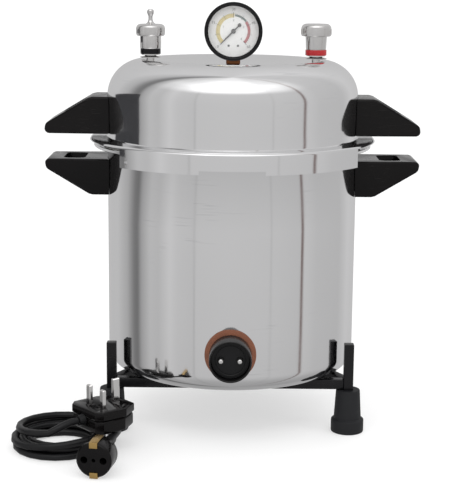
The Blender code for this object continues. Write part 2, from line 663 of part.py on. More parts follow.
def safety_valve():
    """Spring-loaded valve on the right: stem, body, red ring, spring and a cap that lifts."""
    x = VALVE_X
    seat = crown_z(VALVE_X) + VALVE_LIFT
    stem = [(0, seat - 0.009), (VALVE_HOLE_R, seat - 0.009), (VALVE_HOLE_R, seat + 0.0006)]
    stem += [(0.0100, seat + 0.0006), (0.0110, seat + 0.0014), (0.0064, seat + 0.0024)]
    stem += [(0.0064, seat + 0.0092), (0.0030, seat + 0.0092), (0.0030, seat + 0.013)]
    stem += [(0, seat + 0.013)]
    lathe("safety_stem", stem, "steel", (x, 0, 0), steps=24, origin=(x, 0, seat))
    nut("safety_nut", x, seat - LID_T - 2 * VALVE_LIFT, VALVE_HOLE_R, 0.0065, 0.0032, "brass")
    low = seat + 0.0092 + GAP
    ring_low, ring_high = LID_TOP_Z + 0.0047, LID_TOP_Z + 0.0101
    cap_low, top = LID_TOP_Z + 0.0234, LID_TOP_Z + 0.0357
    bore = 0.0036
    wall = 0.0100
    body = [(bore, low), (0.0080, low), (0.0094, ring_low - 0.0008), (0.0094, ring_high + 0.0003)]
    body += [(wall, ring_high + 0.0005), (0.0107, cap_low - GAP), (0.0062, cap_low - GAP)]
    body += [(0.0062, seat + 0.0135), (bore, seat + 0.0135)]
    lathe("safety_body", body, "steel", (x, 0, 0), steps=28, origin=(x, 0, low))
    ring = [(0.0094 + GAP, ring_low), (0.0105, ring_low), (0.0105, ring_high), (0.0094 + GAP, ring_high)]
    lathe("safety_ring", ring, "valve_red", (x, 0, 0), steps=28, origin=(x, 0, ring_low))
    plunger_low = seat + 0.0150
    cap = [(0, plunger_low), (0.0030, plunger_low), (0.0030, cap_low), (0.0140, cap_low)]
    cap += [(0.0152, cap_low + 0.0015), (0.0152, top - 0.0045), (0.0138, top - 0.0018)]
    cap += [(0.0110, top - 0.0003), (0, top)]
    lathe("safety_cap", cap, "steel", (x, 0, 0), steps=28, origin=(x, 0, cap_low))
    spring(x, seat + 0.0138, cap_low - 0.0006)


def spring(x, low, high):
    """Closed outer shape of the return spring around the plunger."""
    profile = [(0.0036, low), (0.0056, low), (0.0056, high), (0.0036, high)]
    lathe("safety_spring", profile, "steel", (x, 0, 0), steps=24, origin=(x, 0, low))


# ---- electric inlet ------------------------------------------------------------------
def contour_cut(radius, lo, hi):
    """Solid cylinder about the pot's axis, to fit flat pieces to the curved wall."""
    return cylinder_bm(radius, lo, hi, (0, 0), 64)


def inlet():
    """Fibre washer, shroud, insulator with two pins, and the element head and loop inside."""
    lo, hi = INLET_Z - 0.04, INLET_Z + 0.04
    washer_front = -(POT_R + 0.0020)
    ring = cylinder_bm(WASHER_R, washer_front, -POT_R + 0.006, (0, INLET_Z), 48, "Y")
    obj = add("inlet_washer", ring, "fibre")
    cut(obj, contour_cut(POT_R + GAP, lo, hi))
    cut(obj, cylinder_bm(NECK_R + GAP, -0.2, -0.1, (0, INLET_Z), 32, "Y"))
    finish_smooth(obj)
    # Head: a round flange inside, its neck through the wall and the washer.
    neck_end = -(POT_R + 0.0085)
    head = cylinder_bm(0.0200, -POT_INNER_R, -POT_INNER_R + 0.0075, (0, INLET_Z), 40, "Y")
    obj = add("element_head", head, "brass")
    combine(obj, cutter(contour_cut(POT_INNER_R - GAP, lo, hi)), "INTERSECT")
    unite(obj, cylinder_bm(NECK_R, neck_end, -POT_INNER_R + 0.002, (0, INLET_Z), 32, "Y"))
    finish_smooth(obj)
    shroud_back = washer_front - GAP
    profile = [(NECK_R + GAP, 0), (INLET_R - 0.001, 0), (INLET_R, 0.001)]
    length = INLET_REACH + shroud_back
    profile += [(INLET_R, length - 0.0006), (INLET_R - 0.0006, length), (INLET_BORE_R, length)]
    profile += [(INLET_BORE_R, 0.0035), (NECK_R + GAP, 0.0035)]
    lathe("inlet_shroud", profile, "steel", (0, shroud_back, INLET_Z), "-Y", 36)
    face = 0.0160
    base = 0.0071
    disc = [(0, base), (INLET_BORE_R - GAP, base), (INLET_BORE_R - GAP, face), (0, face)]
    obj = lathe("inlet_insulator", disc, "phenolic", (0, shroud_back, INLET_Z), "-Y", 36)
    for x in (-PIN_PITCH / 2, PIN_PITCH / 2):
        bore = cylinder_bm(PIN_R + GAP, -0.2, shroud_back - base - 0.003, (x, INLET_Z), 20, "Y")
        cut(obj, bore)
    finish_smooth(obj)
    for name, x in (("inlet_pin_left", -PIN_PITCH / 2), ("inlet_pin_right", PIN_PITCH / 2)):
        tip = length - 0.0015
        pin = [(0, base + 0.0034), (PIN_R, base + 0.0034), (PIN_R, tip - 0.0012)]
        pin += [(PIN_R - 0.0010, tip), (0, tip)]
        lathe(name, pin, "steel", (x, shroud_back, INLET_Z), "-Y", 20)
    element_loop()


def element_loop():
    """Sheathed heating tube: out of the head, once round the floor and back."""
    r, depth = 0.0042, -POT_INNER_R + 0.0075 + GAP
    half = 0.009
    ring_r = POT_INNER_R - 0.044
    points = [(-half, depth, INLET_Z), (-half, depth + 0.009, INLET_Z), (-half, depth + 0.018, INLET_Z)]
    start = math.degrees(math.asin(0.030 / ring_r))
    for i in range(17):
        a = math.radians(-90 - start - (360 - 2 * start) * i / 16)
        points.append((ring_r * math.cos(a), ring_r * math.sin(a), INLET_Z - 0.010))
    points += [(half, depth + 0.018, INLET_Z), (half, depth + 0.009, INLET_Z), (half, depth, INLET_Z)]
    tube("heating_element", smooth_path(points, 0.009), 2 * r, "element_alloy", 2)


# ---- inside of the pot ---------------------------------------------------------------
def tray():
    """Perforated plate on three legs above the water."""
    t = 0.0015
    profile = [(0, TRAY_Z - t), (TRAY_R, TRAY_Z - t), (TRAY_R, TRAY_Z), (0, TRAY_Z)]
    obj = lathe("tray", profile, "polished_aluminium", steps=48)
    holes = []
    for radius, count in ((0.036, 6), (0.088, 14)):
        for i in range(count):
            a = 2 * math.pi * i / count + 0.02
            place = (radius * math.cos(a), radius * math.sin(a))
            holes.append(cylinder_bm(0.0050, TRAY_Z - 0.01, TRAY_Z + 0.01, place, 8))
    cut(obj, join_bms(holes))
    for i in range(3):
        a = math.radians(90 + 120 * i)
        place = (0.050 * math.cos(a), 0.050 * math.sin(a))
        unite(obj, cylinder_bm(0.0040, POT_FLOOR_Z + GAP, TRAY_Z - t / 2, place, 12))
    return finish_smooth(obj)


def basket():
    """Open basket with rows of round holes, a rolled rim and two ears for its bail."""
    low, high = TRAY_Z + GAP, TRAY_Z + GAP + BASKET_H
    t, r = BASKET_T, BASKET_R
    profile = [(0, low), (r - 0.006, low), (r - 0.0017, low + 0.0017), (r, low + 0.006)]
    profile += [(r, high - 0.003), (r + 0.0025, high - 0.003), (r + 0.0025, high), (r - t, high)]
    profile += [(r - t, low + 0.0065), (r - t - 0.0014, low + 0.0029), (r - 0.0075, low + t), (0, low + t)]
    obj = lathe("basket", profile, "polished_aluminium", steps=40)
    holes = []
    for row in range(2):
        z = low + 0.040 + row * 0.048
        for i in range(12):
            hole = cylinder_bm(0.0070, r - 0.008, r + 0.008, (0, 0), 8)
            place_screw(hole, 1, z)
            holes.append(turned(hole, 30.0 * (i + 0.5 * (row % 2)) + 1.3))
    cut(obj, join_bms(holes))
    floor = []
    for radius, count in ((0.032, 5), (0.070, 8)):
        for i in range(count):
            a = 2 * math.pi * i / count + 0.02
            place = (radius * math.cos(a), radius * math.sin(a))
            floor.append(cylinder_bm(0.0070, low - 0.01, low + 0.01, place, 8))
    cut(obj, join_bms(floor))
    pivot_z = high - 0.010
    for side in (-1, 1):
        pin = cylinder_bm(0.0022, r - 0.010, r - t / 2, (0, 0), 12)
        place_screw(pin, side, pivot_z)
        unite(obj, pin)
    finish_smooth(obj)
    bail(pivot_z)


def bail(pivot_z):
    """Wire bail with an eye at each end, lying folded inside the rim."""
    eye_x = BASKET_R - 0.006
    wire = 0.0018
    reach = 0.072
    points = []
    for i in range(19):
        a = math.radians(3.2 + 173.6 * i / 18)
        points.append((eye_x * math.cos(a), reach * math.sin(a), pivot_z))
    path = smooth_path(points, 0.010)
    obj = swept_bm(path, wire, 8)
    obj = add("basket_bail", obj, "steel")
    for side in (-1, 1):
        lo, hi = eye_x - 0.0018, eye_x + 0.0018
        eye = lathe_bm([(0.0022 + GAP, lo), (0.0060, lo), (0.0060, hi), (0.0022 + GAP, hi)], 20)
        place_screw(eye, side, pivot_z)
        unite(obj, eye)
        bore = cylinder_bm(0.0022 + GAP, lo - 0.01, hi + 0.01, (0, 0), 20)
        place_screw(bore, side, pivot_z)
        cut(obj, bore)
    origin = Vector((0, 0, pivot_z))
    obj.data.transform(Matrix.Translation(-origin))
    obj.location = origin
    return finish_smooth(obj)


def swept_bm(path, radius, sides):
    """Closed round wire along a path that lies flat in X and Y."""
    bm = bmesh.new()
    rings = []
    for k, place in enumerate(path):
        ahead = Vector(path[min(k + 1, len(path) - 1)]) - Vector(path[max(k - 1, 0)])
        ahead.normalize()
        across = ahead.cross(Vector((0, 0, 1))).normalized()
        ring = []
        for i in range(sides):
            a = 2 * math.pi * i / sides
            offset = across * radius * math.cos(a) + Vector((0, 0, radius * math.sin(a)))
            ring.append(bm.verts.new(Vector(place) + offset))
        rings.append(ring)
    for a, b in zip(rings, rings[1:]):
        for i in range(sides):
            j = (i + 1) % sides
            bm.faces.new((a[i], a[j], b[j], b[i]))
    bm.faces.new(rings[0])
    bm.faces.new(list(reversed(rings[-1])))
    return bm


# ---- stand ---------------------------------------------------------------------------
LEGS = {"front_left": -60.0, "front_right": 60.0, "rear": 180.0}


def leg_place(name):
    a = math.radians(LEGS[name])
    return LEG_R * math.sin(a), -LEG_R * math.cos(a)


def post_bm(name, grow=0.0):
    x, y = leg_place(name)
    half = BAR / 2 + grow
    lo = FOOT_FLOOR + GAP - grow
    return box_bm((x - half, y - half, lo), (x + half, y + half, POST_TOP_Z + grow))


def bar_bm(start, end, grow=0.0):
    """Square bar between two legs' centre lines, long enough to run into both posts."""
    (x0, y0), (x1, y1) = leg_place(start), leg_place(end)
    half = BAR / 2 + grow
    length = math.hypot(x1 - x0, y1 - y0)
    low = BAR_TOP_Z - BAR - grow
    bm = box_bm((-length / 2, -half, low), (length / 2, half, BAR_TOP_Z + grow))
    angle = math.degrees(math.atan2(y1 - y0, x1 - x0))
    turned(bm, angle)
    bmesh.ops.translate(bm, verts=bm.verts, vec=((x0 + x1) / 2, (y0 + y1) / 2, 0))
    return bm


def stand():
    """Three posts in rubber shoes, joined under the pot by three bars."""
    for name in LEGS:
        obj = add("stand_post_" + name, post_bm(name), "stand_paint")
        bevel(obj, 0.0006, 1)
        x, y = leg_place(name)
        shoe = [(0, 0), (FOOT_R - 0.0008, 0), (FOOT_R, 0.0010), (FOOT_R, 0.0120)]
        shoe += [(FOOT_R - 0.0010, 0.0132), (0.0135, 0.0138), (0.0119, FOOT_H - 0.001)]
        shoe += [(0.0110, FOOT_H), (0, FOOT_H)]
        foot = lathe("foot_" + name, shoe, "foot_rubber", (x, y, 0), steps=28)
        half = BAR / 2 + GAP
        cut(foot, box_bm((x - half, y - half, FOOT_FLOOR), (x + half, y + half, FOOT_H + 0.01)))
        finish_smooth(foot)
    front = add("stand_bar_front", bar_bm("front_left", "front_right"), "stand_paint")
    left = add("stand_bar_left", bar_bm("front_left", "rear"), "stand_paint")
    right = add("stand_bar_right", bar_bm("front_right", "rear"), "stand_paint")
    for bar, ends in ((front, ("front_left", "front_right")), (left, ("front_left", "rear")),
                      (right, ("front_right", "rear"))):
        for name in ends:
            cut(bar, post_bm(name, GAP))
    for bar in (left, right):
        cut(bar, bar_bm("front_left", "front_right", GAP))
    cut(right, bar_bm("front_left", "rear", GAP))
    for bar in (front, left, right):
        keep_largest(bar)


def keep_largest(obj):
    """Drop the slivers that a cut leaves beyond a post."""
    bm = bmesh.new()
    bm.from_mesh(obj.data)
    left = set(bm.verts)
    islands = []
    while left:
        stack = [left.pop()]
        island = set(stack)
        while stack:
            vert = stack.pop()
            for edge in vert.link_edges:
                other = edge.other_vert(vert)
                if other not in island:
                    island.add(other)
                    left.discard(other)
                    stack.append(other)
        islands.append(island)
    largest = max(islands, key=lambda g: max(v.co.x for v in g) - min(v.co.x for v in g))
    drop = [v for group in islands if group is not largest for v in group]
    bmesh.ops.delete(bm, geom=drop, context="VERTS")
    bm.to_mesh(obj.data)
    bm.free()


# ---- cord set ------------------------------------------------------------------------
def connector_frame():
    """Place and heading of the connector: its sleeve ends where the lead starts."""
    start, after = (Vector(p) for p in smooth_path(CONNECTOR_LEAD, 2.2 * CORD_D)[:2])
    heading = Vector((after.x - start.x, after.y - start.y, 0)).normalized()
    return start, heading


def cord_set():
    """Round female connector with earth clips, a wound cord and a flat three-pin plug."""
    start, heading = connector_frame()
    yaw = math.atan2(heading.y, heading.x)
    # Local frame: +Z runs from the sleeve's end towards the connector's face.
    face_way = Matrix.Rotation(yaw - math.pi / 2, 4, "Z") @ Matrix.Rotation(math.pi / 2, 4, "X")
    place = Matrix.Translation(start) @ face_way
    rear = GAP
    bm = lathe_bm([(0, rear), (CORD_R + 0.0012, rear), (0.0068, SLEEVE_L), (0, SLEEVE_L)], 24)
    bmesh.ops.transform(bm, matrix=place, verts=bm.verts)
    add("connector_sleeve", bm, "cord_rubber", 35)
    z0 = SLEEVE_L + GAP
    z1 = z0 + CONNECTOR_L
    r = CONNECTOR_R
    body = [(0, z0), (0.0095, z0), (r - 0.001, z0 + 0.007), (r, z0 + 0.009), (r, z1 - 0.0015)]
    body += [(r - 0.0015, z1), (0, z1)]
    bm = lathe_bm(body, 40)
    obj = add("connector_body", bm, "bakelite")
    holes = [cylinder_bm(PIN_R + 0.0005, z1 - 0.014, z1 + 0.01, (x, 0), 16)
             for x in (-PIN_PITCH / 2, PIN_PITCH / 2)]
    holes.append(cylinder_bm(0.0018, z1 - 0.006, z1 + 0.01, (0, 0), 12))
    clip_w, clip_t = 0.0075, 0.0008
    for side in (-1, 1):
        y0, y1 = sorted((side * (r - 0.0004 - GAP), side * (r + 0.01)))
        half = clip_w / 2 + GAP
        holes.append(box_bm((-half, y0, z1 - 0.022 - GAP), (half, y1, z1 + 0.01)))
        y0, y1 = sorted((side * (r - 0.0055), side * (r + 0.01)))
        holes.append(box_bm((-half, y0, z1 - 0.0006), (half, y1, z1 + 0.01)))
    for bm in holes:
        cut(obj, bm)
    obj.data.transform(place)
    finish_smooth(obj)
    for name, side in (("connector_clip_top", 1), ("connector_clip_bottom", -1)):
        outline = [(r - 0.0004, z1 - 0.022), (r - 0.0004 + clip_t, z1 - 0.022)]
        outline += [(r + 0.0009, z1 - 0.010), (r - 0.0004 + clip_t, z1 + 0.0008)]
        outline += [(r - 0.0050, z1 + 0.0008), (r - 0.0050, z1 - 0.0002), (r - 0.0004, z1 - 0.0002)]
        bm = bmesh.new()
        ends = []
        for x in (-clip_w / 2, clip_w / 2):
            ends.append([bm.verts.new((x, side * y, z)) for y, z in outline])
        bm.faces.new(ends[0])
        bm.faces.new(list(reversed(ends[1])))
        for i in range(len(outline)):
            j = (i + 1) % len(outline)
            bm.faces.new((ends[0][i], ends[1][i], ends[1][j], ends[0][j]))
        bmesh.ops.transform(bm, matrix=place, verts=bm.verts)
        add(name, bm, "brass")
    # Wound cord: closed outer shape of all its turns.
    inner = COIL_R - COIL_BUNDLE
    e = 0.003
    ring = [(inner, e), (inner + e, 0), (COIL_R - e, 0), (COIL_R, e), (COIL_R, COIL_TOP_Z - e)]
    ring += [(COIL_R - e, COIL_TOP_Z), (inner + e, COIL_TOP_Z), (inner, COIL_TOP_Z - e)]
    lathe("cord_coil", ring, "cord_rubber", (*COIL_AT, 0), steps=32)
    tube("cord_lead_connector", smooth_path(CONNECTOR_LEAD, 2.2 * CORD_D), CORD_D, "cord_rubber")
    tube("cord_lead_plug", smooth_path(PLUG_LEAD, 2.2 * CORD_D), CORD_D, "cord_rubber")
    plug()


def plug():
    """Flat three-pin plug lying on the coil with its pins up; the cord enters at -X."""
    place = Matrix.Translation((*PLUG_AT, PLUG_Z)) @ Matrix.Rotation(math.radians(PLUG_TURN), 4, "Z")
    hl, hw = PLUG_L / 2, PLUG_W / 2
    split = PLUG_T * 0.62

    def outline(grow):
        x0, x1 = -hl - grow, hl + grow
        wide, narrow = hw + grow, hw - 0.010 + grow
        return [(x0, -wide + 0.006), (x0 + 0.006, -wide), (x1 - 0.016, -wide), (x1, -narrow),
                (x1, narrow), (x1 - 0.016, wide), (x0 + 0.006, wide), (x0, wide - 0.006)]

    cover = add("plug_cover", prism_bm(outline(-0.0008), 0, split - GAP / 2), "bakelite")
    bevel(cover, 0.0025, 2, 60)
    base = add("plug_base", prism_bm(outline(0), split + GAP / 2, PLUG_T), "bakelite")
    bevel(base, 0.0012, 2, 60)
    # Each pin: its place on the face, its size along and across the plug, and its height.
    pins = {
        "plug_pin_earth": (0.0130, 0, 0.0080, 0.0040, 0.0227),
        "plug_pin_line": (-0.0092, -0.0111, 0.0040, 0.0064, 0.0177),
        "plug_pin_neutral": (-0.0092, 0.0111, 0.0040, 0.0064, 0.0177),
    }
    low = PLUG_T - 0.004
    for name, (x, y, along, across, height) in pins.items():
        hx, hy = along / 2, across / 2
        pocket_lo = (x - hx - GAP, y - hy - GAP, low)
        cut(base, box_bm(pocket_lo, (x + hx + GAP, y + hy + GAP, PLUG_T + 0.01)))
        pin = add(name, box_bm((x - hx, y - hy, low + GAP), (x + hx, y + hy, PLUG_T + height)), "steel")
        bevel(pin, 0.0009, 1)
        pin.data.transform(place)
    grommet = lathe_bm([(0, 0), (CORD_R + 0.0022, 0), (CORD_R + 0.0010, 0.0060), (0, 0.0060)], 24)
    bmesh.ops.rotate(grommet, verts=grommet.verts, matrix=Matrix.Rotation(-math.pi / 2, 3, "Y"))
    bmesh.ops.translate(grommet, verts=grommet.verts, vec=(-hl - GAP, 0, PLUG_T * 0.5))
    bmesh.ops.transform(grommet, matrix=place, verts=grommet.verts)
    add("plug_grommet", grommet, "cord_rubber", 35)
    for obj in (cover, base):
        obj.data.transform(place)
        finish_smooth(obj)


# ---- build ---------------------------------------------------------------------------
clear_scene()
pot_body = pot()
lid_body = lid()
gasket()
for tag, sign in (("left", -1), ("right", 1)):
    wedge_handle("lid_handle_" + tag, sign, LID_HANDLE_Z, 1)
    handle_screw("lid_screw_" + tag, sign, screw_z(LID_HANDLE_Z, 1), lid_body, LID_R - LID_T)
    wedge_handle("pot_handle_" + tag, sign, POT_HANDLE_Z, -1)
    handle_screw("pot_screw_" + tag, sign, screw_z(POT_HANDLE_Z, -1), pot_body, POT_INNER_R)
gauge()
relief_valve()
safety_valve()
inlet()
tray()
basket()
stand()
cord_set()
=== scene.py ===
"""Benchtop autoclave: a polished aluminium pressure pot on a painted stand, its bayonet
lid with gauge and two valves, the electric inlet and its loose cord set."""

import math

import bmesh
import bpy
from mathutils import Matrix, Vector


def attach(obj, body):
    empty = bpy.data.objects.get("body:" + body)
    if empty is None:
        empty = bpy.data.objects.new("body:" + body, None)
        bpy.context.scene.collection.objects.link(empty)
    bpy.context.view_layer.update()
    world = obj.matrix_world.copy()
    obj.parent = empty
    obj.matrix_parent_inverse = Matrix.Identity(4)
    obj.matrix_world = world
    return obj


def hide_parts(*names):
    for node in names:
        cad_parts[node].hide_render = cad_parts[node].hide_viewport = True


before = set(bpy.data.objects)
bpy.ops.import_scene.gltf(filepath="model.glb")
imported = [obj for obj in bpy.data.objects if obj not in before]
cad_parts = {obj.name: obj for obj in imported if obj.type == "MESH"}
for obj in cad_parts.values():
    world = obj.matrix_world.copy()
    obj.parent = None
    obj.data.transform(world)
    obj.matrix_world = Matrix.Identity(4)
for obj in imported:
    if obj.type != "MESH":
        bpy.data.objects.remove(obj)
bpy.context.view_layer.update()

# ---- camera, light and floor -----------------------------------------------------------
# A long lens a little above the lid, looking slightly down, on a white sweep.
# The room around is soft, with a few darker upright strips for the polish to mirror.
def placed(name, data):
    item = bpy.data.objects.new(name, data)
    bpy.context.collection.objects.link(item)
    return item


camera = placed("camera", bpy.data.cameras.new("camera"))
camera.data.sensor_fit = "HORIZONTAL"
camera.data.sensor_width = 36
camera.data.lens = 107.80392
camera.data.clip_start = 0.05
camera.data.clip_end = 50
camera.matrix_world = (
    Matrix.Translation((-0.0018, -1.379, 0.4469))
    @ Matrix.Rotation(math.radians(90 - 11.39), 4, "X")
    @ Matrix.Rotation(math.radians(0.56), 4, "Z")
)
bpy.context.scene.camera = camera
bpy.context.scene.view_settings.view_transform = "Standard"


def made(nodes, kind, inputs=None, **settings):
    """Add a node: its settings first, then its inputs by name or number."""
    node = nodes.new(kind)
    for name, value in settings.items():
        setattr(node, name, value)
    for name, value in (inputs or {}).items():
        node.inputs[name].default_value = value
    return node


def room_light():
    world = bpy.data.worlds.new("studio")
    bpy.context.scene.world = world
    world.use_nodes = True
    nodes, link = world.node_tree.nodes, world.node_tree.links.new
    nodes.clear()
    place = made(nodes, "ShaderNodeTexCoord")
    split = made(nodes, "ShaderNodeSeparateXYZ")
    back = made(nodes, "ShaderNodeMath", {1: -1}, operation="MULTIPLY")
    turn = made(nodes, "ShaderNodeMath", operation="ARCTAN2")
    share = made(nodes, "ShaderNodeMapRange", {"From Min": -math.pi, "From Max": math.pi})
    rise = made(nodes, "ShaderNodeMapRange", {"From Min": -1})
    link(place.outputs["Generated"], split.inputs[0])
    link(split.outputs["Y"], back.inputs[0])
    link(split.outputs["X"], turn.inputs[0])
    link(back.outputs[0], turn.inputs[1])
    link(turn.outputs[0], share.inputs["Value"])
    link(split.outputs["Z"], rise.inputs["Value"])

    def ramp(source, low, high, marks, easing="LINEAR"):
        node = made(nodes, "ShaderNodeValToRGB")
        node.color_ramp.interpolation = easing
        elements = node.color_ramp.elements
        while len(elements) < len(marks):
            elements.new(0.5)
        for element, (mark, colour) in zip(elements, marks):
            element.position = (mark - low) / (high - low)
            element.color = (*colour, 1)
        link(source.outputs[0], node.inputs[0])
        return node.outputs[0]

    def mixed(kind, first, second, factor=1.0):
        node = made(nodes, "ShaderNodeMix", data_type="RGBA", blend_type=kind)
        node.inputs["Factor"].default_value = factor
        link(first, node.inputs["A"])
        link(second, node.inputs["B"])
        return node.outputs["Result"]

    # Degrees from the front, positive to the right, and the brightness there.
    stops = [(-180, 0.52), (-130, 0.54), (-112, 0.42), (-101, 0.2), (-96, 0.17), (-91, 0.36)]
    stops += [(-80, 0.52), (-70, 0.5), (-58, 0.61), (-50, 0.56), (-35, 0.54), (-34, 0.42)]
    stops += [(-33, 0.56), (0, 0.57), (36, 0.56), (37, 0.44), (38, 0.56), (66.5, 0.53)]
    stops += [(67.4, 0.13), (68.6, 0.13), (69.5, 0.58), (85, 0.52), (100, 0.51), (118, 0.5)]
    stops += [(136, 0.6), (180, 0.52)]
    # The one strip darker than this is brown, the rest are neutral.
    brown_below, brown, neutral = 0.15, (1, 0.62, 0.55), (1, 0.995, 1)
    tints = [brown if level < brown_below else neutral for _, level in stops]
    strips = [(angle, tuple(level * c for c in tint)) for (angle, level), tint in zip(stops, tints)]
    # Height of the direction, from -1 straight down to 1 straight up, and the brightness.
    heights = [(-1, 0.62), (-0.75, 0.7), (-0.45, 0.88), (-0.15, 1.0), (0.25, 1.02)]
    heights += [(0.55, 1.06), (0.8, 1.15), (1, 1.2)]
    layers = [(z, (level / 2,) * 3) for z, level in heights]
    room = mixed("MULTIPLY", ramp(share, -180, 180, strips), ramp(rise, -1, 1, layers))
    # A broad soft glow above the front, brightest straight ahead.
    round_it = [(-100, 0), (-62, 0.25), (-26, 1), (12, 1), (46, 0.45), (90, 0)]
    up_it = [(0.5, 0), (0.7, 0.75), (0.8, 1), (0.92, 0.5), (1.0, 0.2)]
    round_it, up_it = ([(mark, (level,) * 3) for mark, level in it] for it in (round_it, up_it))
    glow_round = ramp(share, -180, 180, round_it, "EASE")
    glow = mixed("MULTIPLY", glow_round, ramp(rise, -1, 1, up_it, "EASE"))
    lit = mixed("ADD", room, glow, 0.6)
    mirrored = made(nodes, "ShaderNodeBackground", {"Strength": 2.0})
    open_light = made(nodes, "ShaderNodeBackground", {"Color": (1, 1, 1, 1), "Strength": 1.12})
    path = made(nodes, "ShaderNodeLightPath")
    pick = made(nodes, "ShaderNodeMixShader")
    out = made(nodes, "ShaderNodeOutputWorld")
    link(lit, mirrored.inputs["Color"])
    link(path.outputs["Is Glossy Ray"], pick.inputs[0])
    link(open_light.outputs[0], pick.inputs[1])
    link(mirrored.outputs[0], pick.inputs[2])
    link(pick.outputs[0], out.inputs["Surface"])


room_light()


def softbox(name, place, look_at, size, power):
    light = bpy.data.lights.new(name, "AREA")
    light.shape = "RECTANGLE"
    light.size, light.size_y = size
    light.energy = power
    lamp = placed(name, light)
    lamp.location = place
    lamp.visible_glossy = False
    lamp.rotation_euler = (Vector(look_at) - Vector(place)).to_track_quat("-Z", "Y").to_euler()
    return lamp


softbox("key", (-0.1, -1.5, 2.0), (0, 0, 0.3), (2.4, 0.45), 14)
softbox("fill", (1.6, -0.9, 1.3), (0, 0, 0.2), (0.4, 1.2), 3)


def studio_sheet(name, corners, grey, rough, glow=0.0):
    """A flat sheet of the studio, which isn't part of the object."""
    mesh = bpy.data.meshes.new(name)
    mesh.from_pydata(corners, [], [(0, 1, 2, 3)])
    mat = bpy.data.materials.new(name + " sheet")
    mat.use_nodes = True
    shader = mat.node_tree.nodes["Principled BSDF"]
    shader.inputs["Base Color"].default_value = (*grey, 1)
    shader.inputs["Emission Color"].default_value = (1, 1, 1, 1)
    shader.inputs["Emission Strength"].default_value = glow
    shader.inputs["Roughness"].default_value = rough
    mesh.materials.append(mat)
    sheet = placed(name, mesh)
    return sheet


floor_corners = [(-6, -4, 0), (6, -4, 0), (6, 8, 0), (-6, 8, 0)]
floor = studio_sheet("floor", floor_corners, (0.5, 0.5, 0.5), 0.9, glow=0.5)
floor.location.z = -0.0002
floor.visible_glossy = False
# A dark flag far off to the left, seen only in the polish of the lid's wall.
flag_corners = [(-1.5, -0.012, 0.1), (-1.5, 1.3, 0.1), (-1.5, 1.3, 0.33), (-1.5, -0.012, 0.65)]
flag = studio_sheet("flag", flag_corners, (0.03, 0.03, 0.033), 1)
flag.visible_camera = flag.visible_diffuse = flag.visible_shadow = False


# ---- cord ------------------------------------------------------------------------------
# A 1.5 m rubber mains lead wound into a flat coil of three layers beside the stand.
# One end leaves the kettle connector's sleeve, the other goes into the plug.
CORD_D = 0.007
COIL_AT = (-0.162, -0.122)
CONNECTOR_LEAD = [
    (-0.1107, -0.1495, 0.0177),
    (-0.1085, -0.1385, 0.0177),
    (-0.1071, -0.1278, 0.0169),
    (-0.1075, -0.1182, 0.0143),
    (-0.1098, -0.109, 0.0108),
    (-0.1137, -0.1005, 0.0078),
    (-0.119, -0.093, 0.0056),
    (-0.1238, -0.0876, 0.0044),
]
PLUG_LEAD = [
    (-0.1685, -0.1588, 0.0252),
    (-0.1617, -0.1577, 0.0286),
    (-0.1553, -0.1551, 0.0316),
    (-0.1493, -0.1506, 0.0332),
    (-0.1434, -0.1456, 0.0332),
]


def cord_route():
    """Out of the sleeve, in, out and in again through three layers, and up to the plug."""
    start = Vector((CONNECTOR_LEAD[-1][0] - COIL_AT[0], CONNECTOR_LEAD[-1][1] - COIL_AT[1]))
    angle = math.degrees(math.atan2(start.y, start.x))
    # Each stretch: how far it turns, the radius and the height it ends at.
    stretches = [(66, 0.044, 0.0035), (720, 0.03, 0.0035), (120, 0.03, 0.0105)]
    stretches += [(690, 0.044, 0.0105), (120, 0.044, 0.0176), (110, 0.0415, 0.0176)]
    points = [Vector(p) for p in CONNECTOR_LEAD]
    radius, z = start.length, CONNECTOR_LEAD[-1][2]

    def wound(sweep, radius_end, z_end, rise):
        count = max(4, round(sweep / 18))
        for i in range(1, count + 1):
            share = i / count
            a = math.radians(angle + sweep * share)
            r = radius + (radius_end - radius) * share
            h = z + (z_end - z) * rise(share)
            yield Vector((COIL_AT[0] + r * math.cos(a), COIL_AT[1] + r * math.sin(a), h))

    for sweep, radius_end, z_end in stretches:
        points += wound(sweep, radius_end, z_end, lambda share: share * share * (3 - 2 * share))
        angle, radius, z = angle + sweep, radius_end, z_end
    end = Vector(PLUG_LEAD[0])
    away = end.xy - Vector(COIL_AT)
    left = (math.degrees(math.atan2(away.y, away.x)) - angle) % 360
    # The last of these would be the plug lead's own first point.
    points += list(wound(left, away.length, end.z, lambda share: share * share))[:-1]
    return points + [Vector(p) for p in PLUG_LEAD]


route = cord_route()
lead = bpy.data.curves.new("cord", "CURVE")
lead.dimensions = "3D"
lead.bevel_depth = CORD_D / 2
lead.bevel_resolution = 6
lead.use_fill_caps = True
lead_line = lead.splines.new("POLY")
lead_line.points.add(len(route) - 1)
for point, place in zip(lead_line.points, route):
    point.co = (*place, 1)
lead_line.use_smooth = True
cord = placed("cord", lead)


